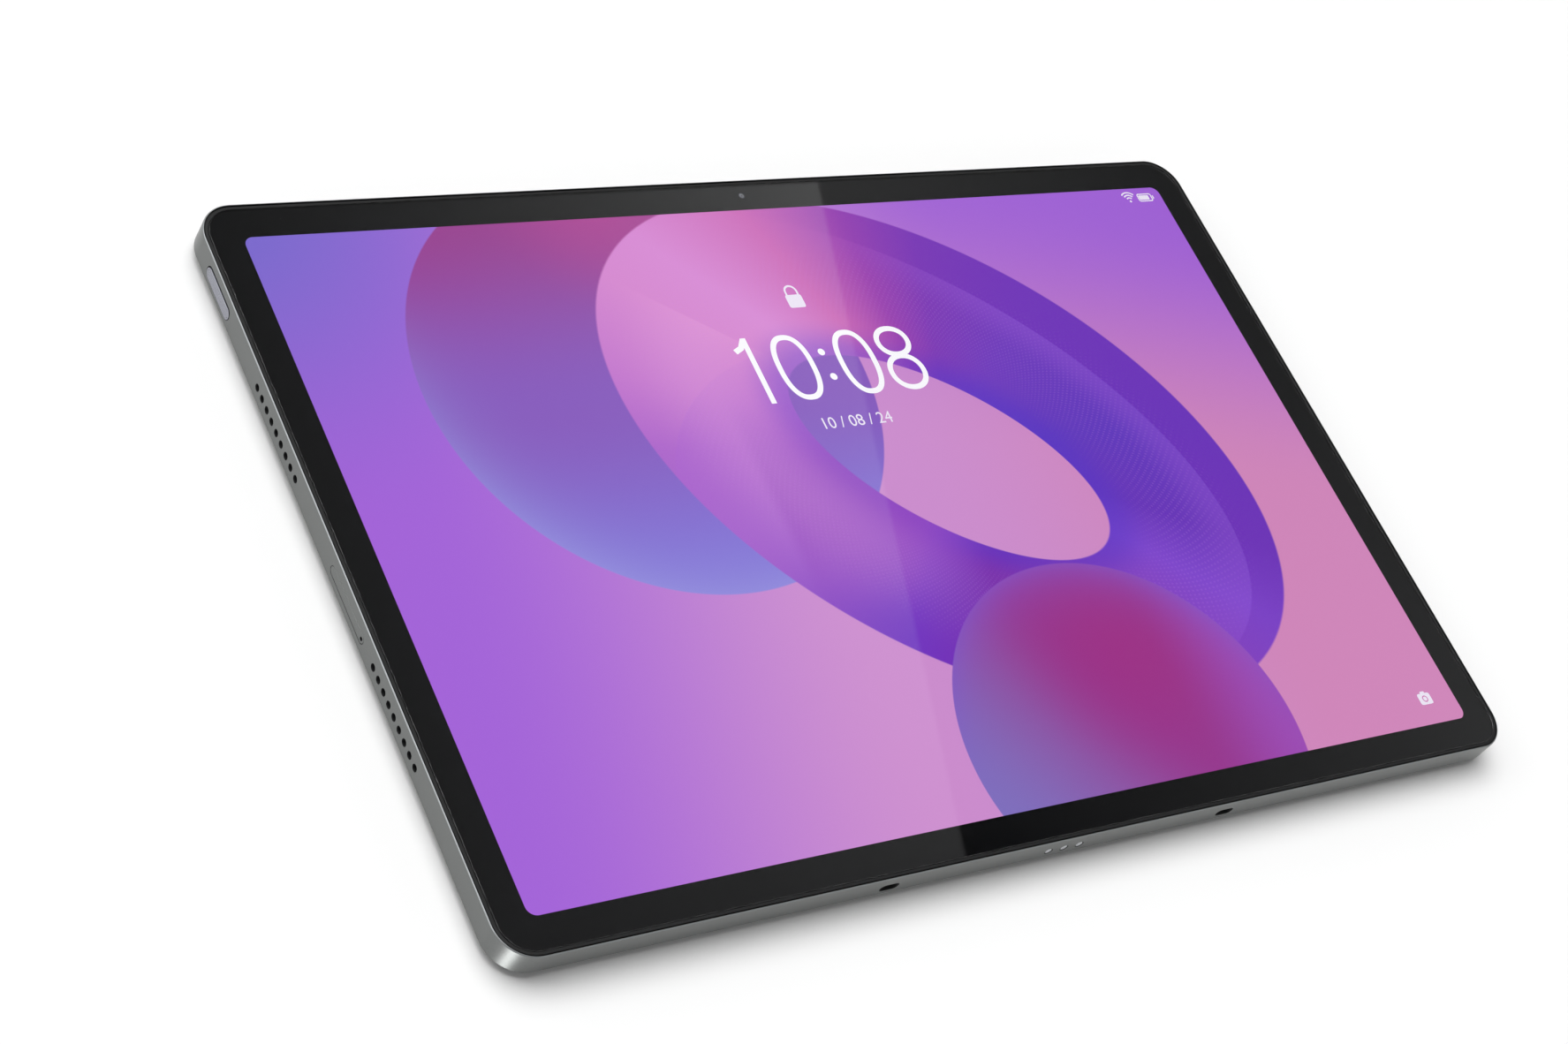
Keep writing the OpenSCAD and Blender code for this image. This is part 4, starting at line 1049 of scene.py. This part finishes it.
def rear_cameras():
    """The raised plate on the back with the lens, the flash and a blank badge."""
    plate = loft("camera_plate_face", 45, 31, 3,
                 [(0, BACK_Z), (0, 1.52), (0.04, 1.47), (0.26, 1.23), (0.34, 1.2)],
                 FINISH["plate_metal"], Matrix.Translation((*PLATE_AT, 0)), 12)
    cut_away(plate, [
        disc("cutter", LENS_AT, 7.05, [(0, 3), (0, 1.26), (-0.08, 1.18), (-0.08, 0.5)],
             FINISH["plate_metal"]),
        disc("cutter", FLASH_AT, 6.95, [(0, 3), (0, 1.24), (-0.06, 1.18), (-0.06, 0.5)],
             FINISH["plate_metal"])])
    finished(plate, "chassis", "plate_metal", "camera_plate")

    ring = disc("lens_ring_turned", LENS_AT, 7.0, [
        (0, BACK_Z), (0, 0.3), (0.05, 0.22), (0.22, 0.03), (0.3, 0), (1.1, 0), (1.2, 0.1),
        (1.2, 0.75), (1.8, 0.75), (1.8, BACK_Z)], FINISH["ring_metal"], 20, True)
    finished(ring, "chassis", "ring_metal", "lens_ring")
    window = disc("lens_window", LENS_AT, 5.75, [(0.1, 0.75), (0, 0.65), (0, 0.45), (0.1, 0.35)],
                  FINISH["lens_glass"])
    finished(window, "chassis", "lens_glass", "lens_cover")

    ledges = [(0, FLOOR_Z + 0.1), (0, 0.95), (0.4, 0.95)]
    for k in range(6):
        ledges += [(0.5 + k * 0.42, 0.98 + k * 0.14), (0.5 + k * 0.42, 1.06 + k * 0.14)]
    ledges += [(3.0, 1.95), (3.0, 2.1)]
    barrel = disc("lens_barrel", LENS_AT, 4.6, ledges, FINISH["camera_black"], 20)
    block_top = high_corner("rear_camera").z
    block = loft("camera_block", 9.5, 9.5, 0.6, [(0, FLOOR_Z + 0.1), (0, block_top)],
                 FINISH["camera_black"], Matrix.Translation((*LENS_AT, 0)), 4)
    finished(join([barrel, block], "rear_camera_body"), "chassis", "camera_black", "rear_camera")
    trim = disc("lens_trim", LENS_AT, 4.75,
                [(0, 0.95), (0, 0.88), (0.05, 0.83), (0.3, 0.83), (0.36, 0.88), (0.36, 0.95)],
                FINISH["ring_metal"], 20, True)
    finished(trim, "chassis", "ring_metal")
    eye_glass = disc("lens_eye", LENS_AT, 1.55,
                     [(0, 2.1), (0, 1.9), (0.2, 1.76), (0.5, 1.66), (0.9, 1.61), (1.3, 1.6)],
                     FINISH["lens_eye"], 12)
    finished(eye_glass, "chassis", "lens_glass")

    cover = disc("flash_cover", FLASH_AT, 6.9,
                 [(0, BACK_Z), (0, 1.33), (0.1, 1.23), (0.3, 1.23)], FINISH["flash_glass"])
    finished(cover, "chassis", "flash_glass", "flash_window")
    dome = disc("flash_dome", FLASH_AT, 2.1,
                [(0, 2.8), (0, 2.2), (0.15, 2.02), (0.5, 1.93), (1.2, BACK_Z)],
                FINISH["flash_yellow"], 12)
    base_top = high_corner("flash_led").z
    base = loft("flash_base", 4.8, 4.8, 0.4, [(0, 2.8), (0, base_top)], FINISH["flash_yellow"],
                Matrix.Translation((*FLASH_AT, 0)), 3)
    finished(join([dome, base], "flash_lamp"), "chassis", "flash_yellow", "flash_led")

    badge = loft("badge", 15, 2, 1, [(0, BACK_Z), (0, BACK_Z - 0.08), (0.04, BACK_Z - 0.12)],
                 FINISH["badge_metal"], Matrix.Translation((0, 71, 0)), 12)
    finished(badge, "chassis", "badge_metal", "badge_inlay")


def flat_ring(name, r, width, low, high, finish, steps):
    """A thin flat ring round the front camera."""
    section = [(0, low), (0, high), (width, high), (width, low)]
    ring = disc(name, EYE_AT, r, section, finish, steps, True)
    finished(ring, "chassis", "camera_black")


def front_camera():
    """The small camera in the black border: its window, its lens and a fine bright rim."""
    flat_ring("front_camera_ring", 1.7, 0.75, 8.081, 8.095, FINISH["window_black"], 12)
    pupil = disc("front_lens", EYE_AT, EYE_R - 0.05,
                 [(0, 7.95), (0, 8.03), (0.2, 8.07), (0.5, 8.09)], FINISH["lens_eye"], 10)
    finished(pupil, "chassis", "lens_glass")
    flat_ring("front_lens_rim", 0.6, 0.18, 8.091, 8.097, FINISH["ring_metal"], 10)


rear_cameras()
front_camera()


# ---------- floor and light ----------


def sheet(name, x0, x1, y0, y1, level, material):
    """One flat rectangle, parallel to the ground."""
    corners = [(x0, y0, level), (x1, y0, level), (x1, y1, level), (x0, y1, level)]
    return new_piece(name, corners, [(0, 1, 2, 3)], material, smooth=False)


def white_floor():
    """A plain pale floor, level with the lowest point of the object."""
    g = Graph("floor")
    patch = g.noise(400, 2)
    g.set(Base_Color=g.blend(patch, (0.80, 0.80, 0.80, 1), (0.82, 0.82, 0.82, 1)), Roughness=0.9)
    g.shader.inputs["Specular IOR Level"].default_value = 0.1
    far = 12000
    floor = sheet("floor", -far, far, -far, far, -0.05, g.material)


def glow_card():
    """A soft panel that only reflections show. A line across it shows as a step in the glass."""
    g = Graph("card")
    x, y, _ = g.axes()
    near, depth, start, fade = 500, 770, 747, 600
    line_at, line_lean = 1222, 227
    up = (y - near) / depth
    line = up * line_lean + line_at
    left = (x - start) / (line - start)
    right = (x - line) / fade
    left_glow = up * ((g.math("MAXIMUM", left, 0.0) ** 1.4) * 0.72 + 0.10) \
        + (1 - up) * (left * 0.17 + 0.16)
    right_glow = up * (0.30 - right * 0.26) + (1 - up) * (right * 0.26 - 0.02)
    step = (x - line).between(-4, 4)
    glow = left_glow * (1 - step) + right_glow * step
    g.set(Base_Color=(0, 0, 0, 1), Roughness=1.0, Emission_Color=(1, 1, 1, 1),
          Emission_Strength=g.math("MAXIMUM", glow, 0.0))
    card = sheet("card", 550, 2600, 200, 1500, 1500, g.material)
    card.visible_camera = False
    card.visible_shadow = False
    card.visible_diffuse = False


def softbox(name, at, size, strength, aim=(0, 0, 5), only=(), skip=()):
    """A square area light that faces a point, in millimetres. It may light only some pieces,
    or skip some, so that its square doesn't show in a mirror-like face."""
    data = bpy.data.lights.new(name, "AREA")
    data.shape = "SQUARE"
    data.size = size * MM
    data.energy = strength
    lamp = placed(name, data)
    lamp.location = Vector(at) * MM
    lamp.rotation_euler = (Vector(at) - Vector(aim)).to_track_quat("Z", "Y").to_euler()
    for pieces, state in ((only, "INCLUDE"), (skip, "EXCLUDE")):
        if pieces:
            group = bpy.data.collections.new(name)
            for piece in pieces:
                group.objects.link(piece)
            for link in group.collection_objects:
                link.light_linking.link_state = state
            lamp.light_linking.receiver_collection = group
            if pieces is only:
                lamp.light_linking.blocker_collection = group


def daylight(strength, toward, angle):
    """A broad even light from one side, for the floor and the soft shadow."""
    data = bpy.data.lights.new("daylight", "SUN")
    data.energy = strength
    data.angle = math.radians(angle)
    lamp = placed("daylight", data)
    lamp.rotation_euler = Vector(toward).to_track_quat("Z", "Y").to_euler()


def studio():
    """Surroundings that are bright near the ground and dim above."""
    world = bpy.data.worlds.new("studio")
    bpy.context.scene.world = world
    world.use_nodes = True
    tree = world.node_tree
    place = tree.nodes.new("ShaderNodeTexCoord")
    split = tree.nodes.new("ShaderNodeSeparateXYZ")
    height = tree.nodes.new("ShaderNodeMapRange")
    height.interpolation_type = "SMOOTHSTEP"
    horizon, overhead = 0.9, 0.10
    for name, value in (("From Min", 0.36), ("From Max", 0.60), ("To Min", horizon),
                        ("To Max", overhead)):
        height.inputs[name].default_value = value
    tree.links.new(place.outputs["Generated"], split.inputs[0])
    tree.links.new(split.outputs["Z"], height.inputs["Value"])
    tree.links.new(height.outputs["Result"], tree.nodes["Background"].inputs["Strength"])
    tree.nodes["Background"].inputs["Color"].default_value = (1, 1, 1, 1)


white_floor()
glow_card()
studio()
daylight(strength=3.05, toward=(-0.12, 0.38, 1.0), angle=58)
softbox("left_softbox", (-1400, 820, 1160), size=900, strength=6.5, skip=[glass])
softbox("corner_light", (-544, -668, -697), size=210, strength=4.0,
        aim=(-HALF_L, -HALF_W, 5), only=[shell])
